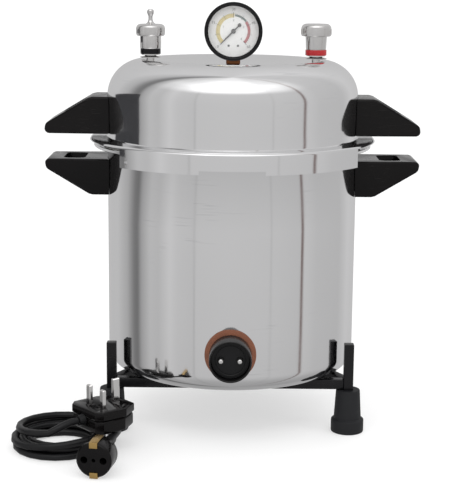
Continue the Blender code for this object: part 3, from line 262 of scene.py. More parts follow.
# Worn surface: slow patches, fine grain and thin scuffs, for every finish on the object.
def worn_surface():
    group = bpy.data.node_groups.new("Worn surface", "ShaderNodeTree")
    face = group.interface
    for name, value in (("Patch Scale", 14.0), ("Grain Scale", 900.0), ("Scuff Scale", 60.0)):
        face.new_socket(name, in_out="INPUT", socket_type="NodeSocketFloat").default_value = value
    for name in ("Patches", "Grain", "Scuffs", "Height"):
        face.new_socket(name, in_out="OUTPUT", socket_type="NodeSocketFloat")
    nodes, link = group.nodes, group.links.new
    given, out = nodes.new("NodeGroupInput"), nodes.new("NodeGroupOutput")
    place = made(nodes, "ShaderNodeTexCoord")
    drawn = made(nodes, "ShaderNodeMapping", {"Rotation": (0.6, 0.35, 0.5), "Scale": (1, 1, 22)})
    patches = made(nodes, "ShaderNodeTexNoise", {"Detail": 4, "Roughness": 0.6})
    grain = made(nodes, "ShaderNodeTexNoise", {"Detail": 2})
    scuffs = made(nodes, "ShaderNodeTexNoise", {"Detail": 1})
    thin = made(nodes, "ShaderNodeMapRange", {"From Min": 0.66, "From Max": 0.74})
    rare = made(nodes, "ShaderNodeMapRange", {"From Min": 0.52, "From Max": 0.66})
    some = made(nodes, "ShaderNodeMath", operation="MULTIPLY")
    height = made(nodes, "ShaderNodeMath", operation="SUBTRACT")
    link(place.outputs["Object"], drawn.inputs["Vector"])
    for noise, source, scale in ((patches, place.outputs["Object"], "Patch Scale"),
                                 (grain, place.outputs["Object"], "Grain Scale"),
                                 (scuffs, drawn.outputs[0], "Scuff Scale")):
        link(source, noise.inputs["Vector"])
        link(given.outputs[scale], noise.inputs["Scale"])
    link(scuffs.outputs["Fac"], thin.inputs["Value"])
    link(patches.outputs["Fac"], rare.inputs["Value"])
    link(thin.outputs[0], some.inputs[0])
    link(rare.outputs[0], some.inputs[1])
    link(grain.outputs["Fac"], height.inputs[0])
    link(some.outputs[0], height.inputs[1])
    link(patches.outputs["Fac"], out.inputs["Patches"])
    link(grain.outputs["Fac"], out.inputs["Grain"])
    link(some.outputs[0], out.inputs["Scuffs"])
    link(height.outputs[0], out.inputs["Height"])
    return group


WORN = worn_surface()


def finish(name, light, dark, rough, metallic=0.0, scales=(14, 900, 60), bump=0.05, gloss=0.5,
           worn=None):
    """A finish from the worn surface: colour drifts light to dark, scuffs are duller."""
    mat = bpy.data.materials.new(name)
    mat.use_nodes = True
    nodes, link = mat.node_tree.nodes, mat.node_tree.links.new
    shader = nodes["Principled BSDF"]
    wear = made(nodes, "ShaderNodeGroup", node_tree=WORN)
    for socket, value in zip(("Patch Scale", "Grain Scale", "Scuff Scale"), scales):
        wear.inputs[socket].default_value = value
    worn = worn or [min(1, c * 1.25 + 0.01) for c in light]
    drift = made(nodes, "ShaderNodeMix", {"A": (*dark, 1), "B": (*light, 1)}, data_type="RGBA")
    rub = made(nodes, "ShaderNodeMix", {"B": (*worn, 1)}, data_type="RGBA")
    dull = {"From Min": 0.3, "From Max": 0.75, "To Min": rough[0], "To Max": rough[1]}
    dull = made(nodes, "ShaderNodeMapRange", dull)
    relief = made(nodes, "ShaderNodeBump", {"Strength": bump, "Distance": 0.0002})
    link(wear.outputs["Patches"], drift.inputs["Factor"])
    link(wear.outputs["Scuffs"], rub.inputs["Factor"])
    link(drift.outputs["Result"], rub.inputs["A"])
    link(rub.outputs["Result"], shader.inputs["Base Color"])
    link(wear.outputs["Patches"], dull.inputs["Value"])
    link(dull.outputs[0], shader.inputs["Roughness"])
    link(wear.outputs["Height"], relief.inputs["Height"])
    link(relief.outputs[0], shader.inputs["Normal"])
    shader.inputs["Metallic"].default_value = metallic
    shader.inputs["Specular IOR Level"].default_value = gloss
    return mat


cord_rubber = finish("cord rubber", (0.01, 0.01, 0.011), (0.004, 0.004, 0.0045), (0.3, 0.46),
                     scales=(40, 1600, 120), bump=0.12, gloss=0.3, worn=(0.03, 0.03, 0.03))
cord.data.materials.append(cord_rubber)


def copied(node, mat, body, bevel=0.0, angle=35.0):
    """A CAD node's own shape, merged, with softened edges and its finish."""
    mesh = bpy.data.objects[node].data.copy()
    bm = bmesh.new()
    bm.from_mesh(mesh)
    bmesh.ops.remove_doubles(bm, verts=bm.verts, dist=0.00001)
    bmesh.ops.dissolve_limit(bm, angle_limit=0.004, verts=bm.verts, edges=bm.edges)
    if bevel:
        limit = math.radians(angle)
        sharp = [e for e in bm.edges if e.is_manifold and e.calc_face_angle(0) > limit]
        bmesh.ops.bevel(bm, geom=sharp, offset=bevel, segments=2, profile=0.6, affect="EDGES",
                        clamp_overlap=True)
    bm.to_mesh(mesh)
    bm.free()
    mesh.materials.clear()
    mesh.materials.append(mat)
    mesh.shade_smooth()
    mesh.set_sharp_from_angle(angle=math.radians(angle))
    piece = placed(node + "_shape", mesh)
    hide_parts(node)
    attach(piece, body)
    return piece


# ---- turned pieces ---------------------------------------------------------------------
# Everything round here is spun or turned on a lathe, so one tree sweeps a half section
# round the axis; the section is a line of (radius, height) points.
def finished(nodes, link, source, given, out):
    """End a tree: realised, in its finish."""
    real = made(nodes, "GeometryNodeRealizeInstances")
    paint = made(nodes, "GeometryNodeSetMaterial")
    link(source.outputs[0], real.inputs[0])
    link(real.outputs[0], paint.inputs["Geometry"])
    link(given.outputs["Finish"], paint.inputs["Material"])
    link(paint.outputs[0], out.inputs[0])


def lathe_tree():
    tree = bpy.data.node_groups.new("Turned on a lathe", "GeometryNodeTree")
    face = tree.interface
    face.new_socket("Section", in_out="INPUT", socket_type="NodeSocketGeometry")
    face.new_socket("Steps", in_out="INPUT", socket_type="NodeSocketInt").default_value = 64
    face.new_socket("Finish", in_out="INPUT", socket_type="NodeSocketMaterial")
    face.new_socket("Turned", in_out="OUTPUT", socket_type="NodeSocketGeometry")
    nodes, link = tree.nodes, tree.links.new
    given, out = nodes.new("NodeGroupInput"), nodes.new("NodeGroupOutput")
    line = made(nodes, "GeometryNodeMeshToCurve")
    rail = made(nodes, "GeometryNodeCurvePrimitiveCircle", {"Radius": 1})
    sweep = made(nodes, "GeometryNodeCurveToMesh")
    join = made(nodes, "GeometryNodeMergeByDistance", {"Distance": 0.000002})
    link(given.outputs["Section"], line.inputs[0])
    link(given.outputs["Steps"], rail.inputs["Resolution"])
    link(rail.outputs["Curve"], sweep.inputs["Curve"])
    link(line.outputs[0], sweep.inputs["Profile Curve"])
    link(sweep.outputs[0], join.inputs["Geometry"])
    finished(nodes, link, join, given, out)
    return tree


LATHE = lathe_tree()


def plain_mesh(piece):
    seen = piece.evaluated_get(bpy.context.evaluated_depsgraph_get())
    return bpy.data.meshes.new_from_object(seen)


def applied(piece):
    """Keep the plain result of a piece's modifiers."""
    result = plain_mesh(piece)
    piece.modifiers.clear()
    piece.data = result
    return piece


def as_piece(name, bm, mat=None):
    mesh = bpy.data.meshes.new(name)
    bm.to_mesh(mesh)
    bm.free()
    if mat:
        mesh.materials.append(mat)
    return placed(name, mesh)


def grown(tree, mesh, name, values):
    """Evaluate a tree on a mesh and keep the plain result."""
    piece = placed(name, mesh)
    modifier = piece.modifiers.new("tree", "NODES")
    modifier.node_group = tree
    for item in tree.interface.items_tree:
        if item.in_out == "INPUT" and item.name in values:
            modifier[item.identifier] = values[item.name]
    return applied(piece)


def turned(name, section, mat, steps=96, at=(0, 0, 0), front=False, closed=None, angle=35.0):
    """Sweep a section; front=True lays the axis along -Y, from at towards the front."""
    closed = section[0][0] > 1e-6 if closed is None else closed
    mesh = bpy.data.meshes.new(name)
    count = len(section)
    edges = [(i, i + 1) for i in range(count - 1)] + ([(count - 1, 0)] if closed else [])
    mesh.from_pydata([(r - 1, -z, 0) for r, z in section], edges, [])
    piece = grown(LATHE, mesh, name, {"Steps": steps, "Finish": mat})
    bm = bmesh.new()
    bm.from_mesh(piece.data)
    if front:
        bmesh.ops.rotate(bm, verts=bm.verts, matrix=Matrix.Rotation(math.pi / 2, 3, "X"))
    bmesh.ops.translate(bm, verts=bm.verts, vec=at)
    if bm.calc_volume(signed=True) < 0:
        bmesh.ops.reverse_faces(bm, faces=bm.faces)
    bm.to_mesh(piece.data)
    bm.free()
    piece.data.shade_smooth()
    piece.data.set_sharp_from_angle(angle=math.radians(angle))
    return piece


def raised(height, section):
    return [(r, z + height) for r, z in section]


def settle(piece, body, *nodes):
    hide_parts(*nodes)
    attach(piece, body)
    return piece


def arc(cx, cz, radius, start, end, steps):
    turn = [math.radians(start + (end - start) * i / steps) for i in range(steps + 1)]
    return [(cx + radius * math.cos(a), cz + radius * math.sin(a)) for a in turn]


def combined(piece, bm, operation="DIFFERENCE"):
    """Cut or join one exact solid."""
    tool = as_piece("tool", bm)
    modifier = piece.modifiers.new("cut", "BOOLEAN")
    modifier.operation, modifier.solver, modifier.object = operation, "EXACT", tool
    applied(piece)
    bpy.data.objects.remove(tool)
    return piece


def smoothed(piece, angle=30.0):
    piece.data.shade_smooth()
    piece.data.set_sharp_from_angle(angle=math.radians(angle))
    return piece


def prism(outline, low, high):
    bm = bmesh.new()
    below = [bm.verts.new((x, y, low)) for x, y in outline]
    above = [bm.verts.new((x, y, high)) for x, y in outline]
    bm.faces.new(list(reversed(below)))
    bm.faces.new(above)
    for i in range(len(outline)):
        j = (i + 1) % len(outline)
        bm.faces.new((below[i], below[j], above[j], above[i]))
    bmesh.ops.recalc_face_normals(bm, faces=bm.faces)
    return bm


def sector(inner, outer, start, end, steps=24):
    """Outline between two radii; degrees from the front, positive to +X."""
    turn = [math.radians(start + (end - start) * i / steps) for i in range(steps + 1)]
    outside = [(outer * math.sin(a), -outer * math.cos(a)) for a in turn]
    return outside + [(inner * math.sin(a), -inner * math.cos(a)) for a in reversed(turn)]


def rod(radius, start, end, steps=32):
    """A straight round bar between two points."""
    bm = bmesh.new()
    start, end = Vector(start), Vector(end)
    turn = (end - start).to_track_quat("Z", "Y").to_matrix().to_4x4()
    place = Matrix.Translation((start + end) / 2) @ turn
    bmesh.ops.create_cone(bm, cap_ends=True, segments=steps, radius1=radius, radius2=radius,
                          depth=(end - start).length, matrix=place)
    return bm


# Pieces that repeat round an axis: the unit points along +X and is set round the circle.
def ring_tree():
    tree = bpy.data.node_groups.new("Set round an axis", "GeometryNodeTree")
    face = tree.interface
    face.new_socket("Unit", in_out="INPUT", socket_type="NodeSocketGeometry")
    face.new_socket("Count", in_out="INPUT", socket_type="NodeSocketInt").default_value = 6
    for name in ("Radius", "Start", "Step", "Rise"):
        face.new_socket(name, in_out="INPUT", socket_type="NodeSocketFloat")
    face.new_socket("Finish", in_out="INPUT", socket_type="NodeSocketMaterial")
    face.new_socket("Ring", in_out="OUTPUT", socket_type="NodeSocketGeometry")
    nodes, link = tree.nodes, tree.links.new
    given, out = nodes.new("NodeGroupInput"), nodes.new("NodeGroupOutput")
    index = made(nodes, "GeometryNodeInputIndex")
    along = made(nodes, "ShaderNodeMath", operation="MULTIPLY_ADD")
    link(index.outputs[0], along.inputs[0])
    link(given.outputs["Step"], along.inputs[1])
    link(given.outputs["Start"], along.inputs[2])
    spot = made(nodes, "ShaderNodeCombineXYZ")
    for kind, side in (("COSINE", "X"), ("SINE", "Y")):
        wave = made(nodes, "ShaderNodeMath", operation=kind)
        far = made(nodes, "ShaderNodeMath", operation="MULTIPLY")
        link(along.outputs[0], wave.inputs[0])
        link(wave.outputs[0], far.inputs[0])
        link(given.outputs["Radius"], far.inputs[1])
        link(far.outputs[0], spot.inputs[side])
    link(given.outputs["Rise"], spot.inputs["Z"])
    points = made(nodes, "GeometryNodePoints")
    facing = made(nodes, "ShaderNodeCombineXYZ")
    spread = made(nodes, "GeometryNodeInstanceOnPoints")
    link(given.outputs["Count"], points.inputs["Count"])
    link(spot.outputs[0], points.inputs["Position"])
    link(along.outputs[0], facing.inputs["Z"])
    link(points.outputs[0], spread.inputs["Points"])
    link(given.outputs["Unit"], spread.inputs["Instance"])
    link(facing.outputs[0], spread.inputs["Rotation"])
    finished(nodes, link, spread, given, out)
    return tree


RING = ring_tree()


def set_round(name, unit, mat, count, radius, start=0.0, step=None, rise=0.0):
    """Angles in degrees from +X."""
    mesh = bpy.data.meshes.new(name)
    unit.to_mesh(mesh)
    unit.free()
    step = 360 / count if step is None else step
    values = {"Count": count, "Radius": radius, "Start": math.radians(start)}
    values.update({"Step": math.radians(step), "Rise": rise, "Finish": mat})
    return grown(RING, mesh, name, values)


def block(lo, hi, bevel=0.0):
    bm = bmesh.new()
    lo, hi = Vector(lo), Vector(hi)
    place = Matrix.Translation((lo + hi) / 2) @ Matrix.Diagonal((*(hi - lo), 1))
    bmesh.ops.create_cube(bm, size=1, matrix=place)
    if bevel:
        bmesh.ops.bevel(bm, geom=bm.edges[:], offset=bevel, segments=2, profile=0.5, affect="EDGES")
    return bm


def as_bm(piece):
    """Take an object's mesh as a tool and drop the object."""
    bm = bmesh.new()
    bm.from_mesh(piece.data)
    bpy.data.objects.remove(piece)
    return bm


# ---- pot -------------------------------------------------------------------------------
# Deep drawn aluminium, buffed to a mirror, with a rolled corner and a flange whose six
# gaps let the lid's lips drop past. The inlet's hole is punched low in the front.
POT_R, POT_INNER_R, POT_CORNER_R = 0.125, 0.122, 0.017
POT_BOTTOM_Z, POT_FLOOR_Z, POT_RIM_Z = 0.0538, 0.0568, 0.2807
POT_FLANGE_R, POT_FLANGE_T, POT_GAP_R = 0.1385, 0.003, 0.1325
INLET_Z = 0.0932
LIP_MIDDLES = [-37, 4.5, 46, 143, 184.5, 226]


def polished_aluminium():
    """Buffed metal: faint turning marks run round it, with small dull touches."""
    mat = finish("polished aluminium", (0.93, 0.93, 0.935), (0.885, 0.885, 0.89), (0.045, 0.12),
                 metallic=1.0, scales=(9, 700, 26), bump=0.01, worn=(0.8, 0.8, 0.81))
    nodes, link = mat.node_tree.nodes, mat.node_tree.links.new
    shader = nodes["Principled BSDF"]
    place = made(nodes, "ShaderNodeTexCoord")
    stretch = made(nodes, "ShaderNodeMapping", {"Scale": (3, 3, 900)})
    marks = made(nodes, "ShaderNodeTexNoise", {"Scale": 1.0, "Detail": 3})
    turning = made(nodes, "ShaderNodeBump", {"Strength": 0.018, "Distance": 0.0001})
    grain = shader.inputs["Normal"].links[0].from_node
    link(place.outputs["Object"], stretch.inputs["Vector"])
    link(stretch.outputs[0], marks.inputs["Vector"])
    link(marks.outputs["Fac"], turning.inputs["Height"])
    link(grain.outputs[0], turning.inputs["Normal"])
    link(turning.outputs[0], shader.inputs["Normal"])
    return mat


aluminium = polished_aluminium()


def pot():
    r, c, wall = POT_R, POT_CORNER_R, POT_R - POT_INNER_R
    rim, under, edge = POT_RIM_Z, POT_RIM_Z - POT_FLANGE_T, POT_FLANGE_R
    section = [(0, POT_BOTTOM_Z), (0.05, POT_BOTTOM_Z), (0.1, POT_BOTTOM_Z)]
    section += arc(r - c, POT_BOTTOM_Z + c, c, -90, 0, 14)
    section += [(r, 0.11), (r, 0.16), (r, 0.21), (r, under - 0.0012)]
    section += [(r + 0.0004, under - 0.0003), (r + 0.0014, under)]
    section += [(edge - 0.0004, under), (edge, under + 0.0004)]
    section += [(edge, rim - 0.0004), (edge - 0.0004, rim)]
    section += [(POT_INNER_R + 0.001, POT_RIM_Z), (POT_INNER_R, POT_RIM_Z - 0.001)]
    section += [(POT_INNER_R, 0.21), (POT_INNER_R, 0.16), (POT_INNER_R, 0.11)]
    section += arc(POT_INNER_R - c + wall, POT_FLOOR_Z + c - wall, c - wall, 0, -90, 12)
    section += [(0.09, POT_FLOOR_Z), (0.045, POT_FLOOR_Z), (0, POT_FLOOR_Z)]
    piece = turned("pot_body", section, aluminium, steps=256)
    for middle in LIP_MIDDLES:
        cut = sector(POT_GAP_R, POT_FLANGE_R + 0.01, middle - 10.5, middle + 10.5)
        combined(piece, prism(cut, POT_RIM_Z - 0.006, POT_RIM_Z + 0.003))
    combined(piece, rod(0.0138, (0, -0.14, INLET_Z), (0, -0.11, INLET_Z), 64))
    return smoothed(piece)


settle(pot(), "base", "pot")

# ---- lid -------------------------------------------------------------------------------
# Pressed aluminium: dished crown, wide soft shoulder, straight wall and a bayonet skirt
# on two sides with lips that lock under the pot's flange. Buffed like the pot.
LID_R, LID_T, LID_FLANGE_Z, LID_TOP_Z = 0.125, 0.0022, 0.2865, 0.3629
LID_SHOULDER_R, LID_DISH, CROWN_R = 0.036, 0.005, 0.089
SKIRT_R, SKIRT_T, SKIRT_H = 0.1426, 0.0018, 0.0203
VALVE_X = 0.0822


def crown_z(r):
    return LID_TOP_Z - LID_DISH * (1 - (r / CROWN_R) ** 2)


def lid():
    t, s, z = LID_T, LID_SHOULDER_R, LID_FLANGE_Z
    section = [(SKIRT_R - SKIRT_T, z - SKIRT_H), (SKIRT_R, z - SKIRT_H), (SKIRT_R, z - 0.01)]
    section += arc(SKIRT_R - 0.0032, z - 0.0032, 0.0032, 0, 90, 8)
    section += [(LID_R + 0.008, z), (LID_R + 0.0022, z)]
    section += [(LID_R + 0.0009, z + 0.0002), (LID_R + 0.0003, z + 0.0008), (LID_R, z + 0.0022)]
    section += [(LID_R, z + 0.012), (LID_R, z + 0.026)]
    section += arc(CROWN_R, LID_TOP_Z - s, s, 0, 90, 28)
    for thick, shares in ((0, (0.95, 0.85, 0.75, 0.6, 0.45, 0.3, 0.15, 0)),
                          (t, (0, 0.15, 0.3, 0.45, 0.6, 0.75, 0.9))):
        section += [(CROWN_R * k, crown_z(CROWN_R * k) - thick) for k in shares]
    section += arc(CROWN_R, LID_TOP_Z - s, s - t, 90, 0, 20)
    section += [(LID_R - t, z + 0.02), (LID_R - t, z - t), (SKIRT_R - SKIRT_T, z - t)]
    piece = turned("lid_pressing", section, aluminium, steps=256, closed=True)
    low = z - SKIRT_H - 0.005
    for start, end in ((57, 132), (237, 312)):
        side = sector(LID_R + 0.004, SKIRT_R + 0.01, start, end, 60)
        combined(piece, prism(side, low, z - t - 0.0005))
    notch = sector(LID_R + 0.004, SKIRT_R + 0.01, -12.3, 12.3)
    combined(piece, prism(notch, low, z - SKIRT_H + 0.0038))
    for middle in LIP_MIDDLES:
        lip = sector(SKIRT_R - 0.0062, SKIRT_R - SKIRT_T / 2, middle - 8, middle + 8)
        combined(piece, prism(lip, 0.2743, 0.2765), "UNION")
    a = math.radians(-44.4)
    out = Vector((math.sin(a), -math.cos(a), 0))
    level = Vector((0, 0, z - 0.0145))
    combined(piece, rod(0.0021, out * 0.136 + level, out * 0.149 + level, 24))
    for x, r in ((-VALVE_X, 0.0045), (VALVE_X, 0.0045), (0, 0.0063)):
        combined(piece, rod(r, (x, 0, 0.34), (x, 0, 0.38)))
    return smoothed(piece)


settle(lid(), "lid_unit", "lid")

# Lip ring of grey rubber, moulded, pinched between the rim and the lid's flange.
gasket_rubber = finish("gasket rubber", (0.58, 0.58, 0.55), (0.44, 0.44, 0.42), (0.5, 0.7),
                       bump=0.1)
gasket = [(0.1229, 0.281), (0.1285, 0.281), (0.1285, 0.2833), (0.1278, 0.284)]
gasket += [(0.123, 0.284), (0.1225, 0.2833), (0.1225, 0.2814)]
settle(turned("lid_seal_ring", gasket, gasket_rubber, steps=192), "lid_seal", "lid_gasket")

# ---- handles ---------------------------------------------------------------------------
# Compression moulded black bakelite wedges with a finger slot, one pair on the lid and one
# on the pot. Each is held by a pan-head screw from inside the wall.
HANDLE_TIP_R, HANDLE_H, HANDLE_TIP_H = 0.1858, 0.0362, 0.0105
HANDLE_BOTTOM_W, HANDLE_TOP_W, HANDLE_ROUND = 0.066, 0.056, 0.0034
LID_HANDLE_Z, POT_HANDLE_Z = 0.2905, 0.2655
SLOT_START, SLOT_END, SLOT_HALF, SLOT_ROUND = 0.1465, 0.168, 0.0205, 0.006


def bakelite_finish():
    """Black moulding with a faint brown swirl and a polished skin."""
    return finish("bakelite", (0.006, 0.005, 0.005), (0.0015, 0.0015, 0.0017), (0.1, 0.22),
                  scales=(22, 1300, 75), bump=0.03, gloss=0.2, worn=(0.02, 0.019, 0.018))


bakelite = bakelite_finish()


def wedge_handle(name, side, z_flat, up):
    root, tip, shoulder = POT_R - 0.004, HANDLE_TIP_R, POT_R + 0.0155
    h, tip_h = HANDLE_H, HANDLE_TIP_H
    outline = [(root, 0), (tip - 0.003, 0), (tip, 0.003), (tip - 0.001, tip_h - 0.001)]
    outline += [(tip - 0.004, tip_h + 0.001), (shoulder + 0.002, h - 0.001)]
    outline += [(shoulder - 0.002, h), (root, h)]
    bm = bmesh.new()
    loops = []
    for sign in (-1, 1):
        loop = []
        for x, z in outline:
            half = (HANDLE_BOTTOM_W * (1 - z / h) + HANDLE_TOP_W * z / h) / 2
            pinch = max(0.0, (x - (tip - 0.022)) / 0.022)
            loop.append(bm.verts.new((x, sign * half * (1 - 0.13 * pinch * pinch), z * up)))
        loops.append(loop)
    bm.faces.new(loops[0])
    bm.faces.new(list(reversed(loops[1])))
    for i in range(len(outline)):
        j = (i + 1) % len(outline)
        bm.faces.new((loops[0][i], loops[1][i], loops[1][j], loops[0][j]))
    bmesh.ops.recalc_face_normals(bm, faces=bm.faces)
    edges = [e for e in bm.edges if e.calc_face_angle(0) > math.radians(24)]
    bmesh.ops.bevel(bm, geom=edges, offset=HANDLE_ROUND, segments=5, profile=0.5,
                    affect="EDGES", clamp_overlap=True)
    if side < 0:
        bmesh.ops.rotate(bm, verts=bm.verts, matrix=Matrix.Rotation(math.pi, 3, "Z"))
    bmesh.ops.translate(bm, verts=bm.verts, vec=(0, 0, z_flat))
    piece = as_piece(name, bm)
    low, high = sorted((z_flat - up * 0.02, z_flat + up * (h + 0.02)))
    combined(piece, rod(POT_R + 0.0003, (0, 0, low), (0, 0, high), 256))
    slot = []
    near, far = SLOT_START + SLOT_ROUND, SLOT_END - SLOT_ROUND
    across = SLOT_HALF - SLOT_ROUND
    corners = ((far, across), (near, across), (near, -across), (far, -across))
    for quarter, (cx, cy) in enumerate(corners):
        for x, y in arc(cx, cy, SLOT_ROUND, 90 * quarter, 90 * quarter + 90, 8):
            slot.append((side * x, side * y))
    combined(piece, prism(slot, low, high))
    z_screw = z_flat + up * h / 2
    combined(piece, rod(0.0025, (side * 0.12, 0, z_screw), (side * 0.1373, 0, z_screw), 24))
    soft = piece.modifiers.new("edges", "BEVEL")
    soft.width, soft.segments, soft.limit_method = 0.0007, 2, "ANGLE"
    soft.angle_limit = math.radians(50)
    applied(piece)
    piece.data.materials.clear()
    piece.data.materials.append(bakelite)
    return smoothed(piece, 38)


for tag, side in (("left", -1), ("right", 1)):
    grip = wedge_handle("lid_grip_" + tag, side, LID_HANDLE_Z, 1)
    settle(grip, "lid_unit", "lid_handle_" + tag)
    grip = wedge_handle("pot_grip_" + tag, side, POT_HANDLE_Z, -1)
    settle(grip, "base", "pot_handle_" + tag)

# Nickel plated fittings share one bright, faintly yellow finish with fine pits.
nickel = finish("nickel plate", (0.86, 0.85, 0.84), (0.74, 0.73, 0.72), (0.08, 0.2), metallic=1.0,
                scales=(60, 1500, 160), bump=0.03)


def screw_unit(seat):
    """Pan head, its shank along +X from the seat."""
    bm = bmesh.new()
    section = [(0, seat - 0.0022), (0.0028, seat - 0.0021), (0.004, seat - 0.0015)]
    section += [(0.0045, seat - 0.0006), (0.0045, seat), (0.0022, seat), (0.0022, 0.1366)]
    section += [(0, 0.137)]
    rings = []
    for r, x in section:
        count = 1 if r == 0 else 28
        turn = [2 * math.pi * i / count for i in range(count)]
        rings.append([bm.verts.new((x, r * math.cos(a), r * math.sin(a))) for a in turn])
    for a, b in zip(rings, rings[1:]):
        for i in range(28):
            j = (i + 1) % 28
            near = (a[0],) if len(a) == 1 else (a[i], a[j])
            far = (b[0],) if len(b) == 1 else (b[j], b[i])
            bm.faces.new(near + far)
    bmesh.ops.recalc_face_normals(bm, faces=bm.faces)
    return bm


for tag, body, seat, height in (("lid", "lid_unit", 0.1224, LID_HANDLE_Z + HANDLE_H / 2),
                                ("pot", "base", 0.1216, POT_HANDLE_Z - HANDLE_H / 2)):
    pair = set_round(tag + "_screws", screw_unit(seat), nickel, 2, 0, rise=height)
    settle(smoothed(pair), body, tag + "_screw_left", tag + "_screw_right")

# ---- gauge -----------------------------------------------------------------------------
# Steel cup with a black bezel and a flat lens, facing the front. The dial is printed with
# coloured bands; the pointer has a round counterweight. It screws in by a square neck.
GAUGE_Z, GAUGE_BACK_Y, CUP_DEPTH = 0.3907, 0.0075, 0.0195
gauge_at = (0, GAUGE_BACK_Y, GAUGE_Z)
cup = [(0, 0), (0.02, 0), (0.0245, 0.0003)] + arc(0.0249, 0.002, 0.002, -70, 0, 5)
cup += [(0.0269, 0.01), (0.0269, 0.019), (0.0265, 0.0195), (0.0257, 0.0195), (0.0253, 0.0191)]
cup += [(0.0253, 0.0062), (0.025, 0.006), (0, 0.006)]
case = turned("gauge_cup", cup, nickel, steps=128, at=gauge_at, front=True)
combined(case, block((-0.006, -0.0085, 0.3636), (0.006, 0.0045, 0.365)), "UNION")
settle(smoothed(case), "lid_unit", "gauge_case")
bezel_black = finish("bezel enamel", (0.005, 0.005, 0.006), (0.002, 0.002, 0.0025), (0.16, 0.3),
                     scales=(40, 1800, 140), bump=0.05, gloss=0.28, worn=(0.02, 0.02, 0.02))
bezel = [(0.0248, 0), (0.0279, 0), (0.0285, 0.0003), (0.0287, 0.0009), (0.0287, 0.0028)]
bezel += [(0.0285, 0.0036), (0.0279, 0.004), (0.0266, 0.004), (0.0261, 0.0038)]
bezel += [(0.0251, 0.0029), (0.0248, 0.0024)]
bezel = raised(CUP_DEPTH + 0.0003, bezel)
ring = turned("gauge_ring", bezel, bezel_black, steps=128, at=gauge_at, front=True)
settle(ring, "lid_unit", "gauge_bezel")
dial_white = finish("dial enamel", (0.88, 0.88, 0.87), (0.83, 0.83, 0.82), (0.35, 0.5), bump=0.02)
dial = [(0.0013, 0.0133), (0.0246, 0.0133), (0.025, 0.0135), (0.025, 0.014), (0.0247, 0.0141)]
dial += [(0.0013, 0.0141)]
dial_plate = turned("dial_plate", dial, dial_white, steps=128, at=gauge_at, front=True)
DIAL_Y = GAUGE_BACK_Y - 0.0141


def ink(name, colour):
    light = tuple(c * 1.12 for c in colour)
    return finish(name, light, colour, (0.4, 0.55), scales=(80, 2600, 300), bump=0.02, worn=colour)


ink_black = ink("black ink", (0.025, 0.027, 0.03))
ink_yellow = ink("yellow ink", (0.6, 0.49, 0.18))
ink_green = ink("green ink", (0.035, 0.085, 0.07))
ink_red = ink("red ink", (0.38, 0.055, 0.065))


def dial_band(name, mat, inner, outer, start, end):
    """A printed arc; degrees clockwise from twelve o'clock."""
    steps = max(6, int((end - start) / 3))
    turn = [math.radians(start + (end - start) * i / steps) for i in range(steps + 1)]
    ring = [(outer * math.sin(a), outer * math.cos(a)) for a in turn]
    ring += [(inner * math.sin(a), inner * math.cos(a)) for a in reversed(turn)]
    return printed(name, prism(ring, 0, 0.00012), mat)


def printed(name, bm, mat):
    """Stand a flat shape drawn in X and Y on the dial's face."""
    bmesh.ops.rotate(bm, verts=bm.verts, matrix=Matrix.Rotation(math.pi / 2, 3, "X"))
    bmesh.ops.translate(bm, verts=bm.verts, vec=(0, DIAL_Y - 0.00002, GAUGE_Z))
    piece = as_piece(name, bm, mat)
    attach(piece, "lid_unit")
    return piece


settle(dial_plate, "lid_unit", "gauge_dial")
dial_band("band_yellow", ink_yellow, 0.0134, 0.0173, -135, 3)
dial_band("band_green", ink_green, 0.0146, 0.0166, 5, 52)
dial_band("band_red", ink_red, 0.014, 0.0168, 53, 135)


def dial_ticks(name, count, inner, outer, width, step):
    tick = block((inner, -width / 2, 0), (outer, width / 2, 0.00016))
    ring = set_round(name, tick, ink_black, count, 0, start=-45, step=step)
    bm = as_bm(ring)
    return printed(name, bm, ink_black)


dial_ticks("ticks_main", 9, 0.0134, 0.0186, 0.00042, 270 / 8)
dial_ticks("ticks_fine", 41, 0.0164, 0.0178, 0.00018, 270 / 40)


def numeral(text, angle, radius, size):
    """A figure on the dial, upright, at degrees clockwise from twelve."""
    words = bpy.data.curves.new("figure", "FONT")
    words.body, words.size, words.align_x, words.align_y = text, size, "CENTER", "CENTER"
    words.extrude = 0.00005
    drawn = placed("figure", words)
    bm = bmesh.new()
    bm.from_mesh(plain_mesh(drawn))
    bpy.data.objects.remove(drawn)
    bmesh.ops.remove_doubles(bm, verts=bm.verts, dist=0.000001)
    a = math.radians(angle)
    spot = (radius * math.sin(a), radius * math.cos(a), 0.00006)
    bmesh.ops.translate(bm, verts=bm.verts, vec=spot)
    return bm


def joined(bms):
    whole = bmesh.new()
    for bm in bms:
        mesh = bpy.data.meshes.new("part")
        bm.to_mesh(mesh)
        bm.free()
        whole.from_mesh(mesh)
        bpy.data.meshes.remove(mesh)
    return whole


figures = []
for i in range(5):
    figures.append(numeral(str(15 * i), -135 + 67.5 * i, 0.0214, 0.0036))
for i in range(5):
    figures.append(numeral(str(i), -135 + 67.5 * i, 0.0108, 0.003))
printed("dial_figures", joined(figures), ink_black)
spots = []
for x in (-0.0046, 0.0046):
    spot = bmesh.new()
    bmesh.ops.create_cone(spot, cap_ends=True, segments=20, radius1=0.0012, radius2=0.0012,
                          depth=0.0001, matrix=Matrix.Translation((x, -0.0142, 0.00006)))
    spots.append(spot)
printed("dial_spots", joined(spots), ink_black)


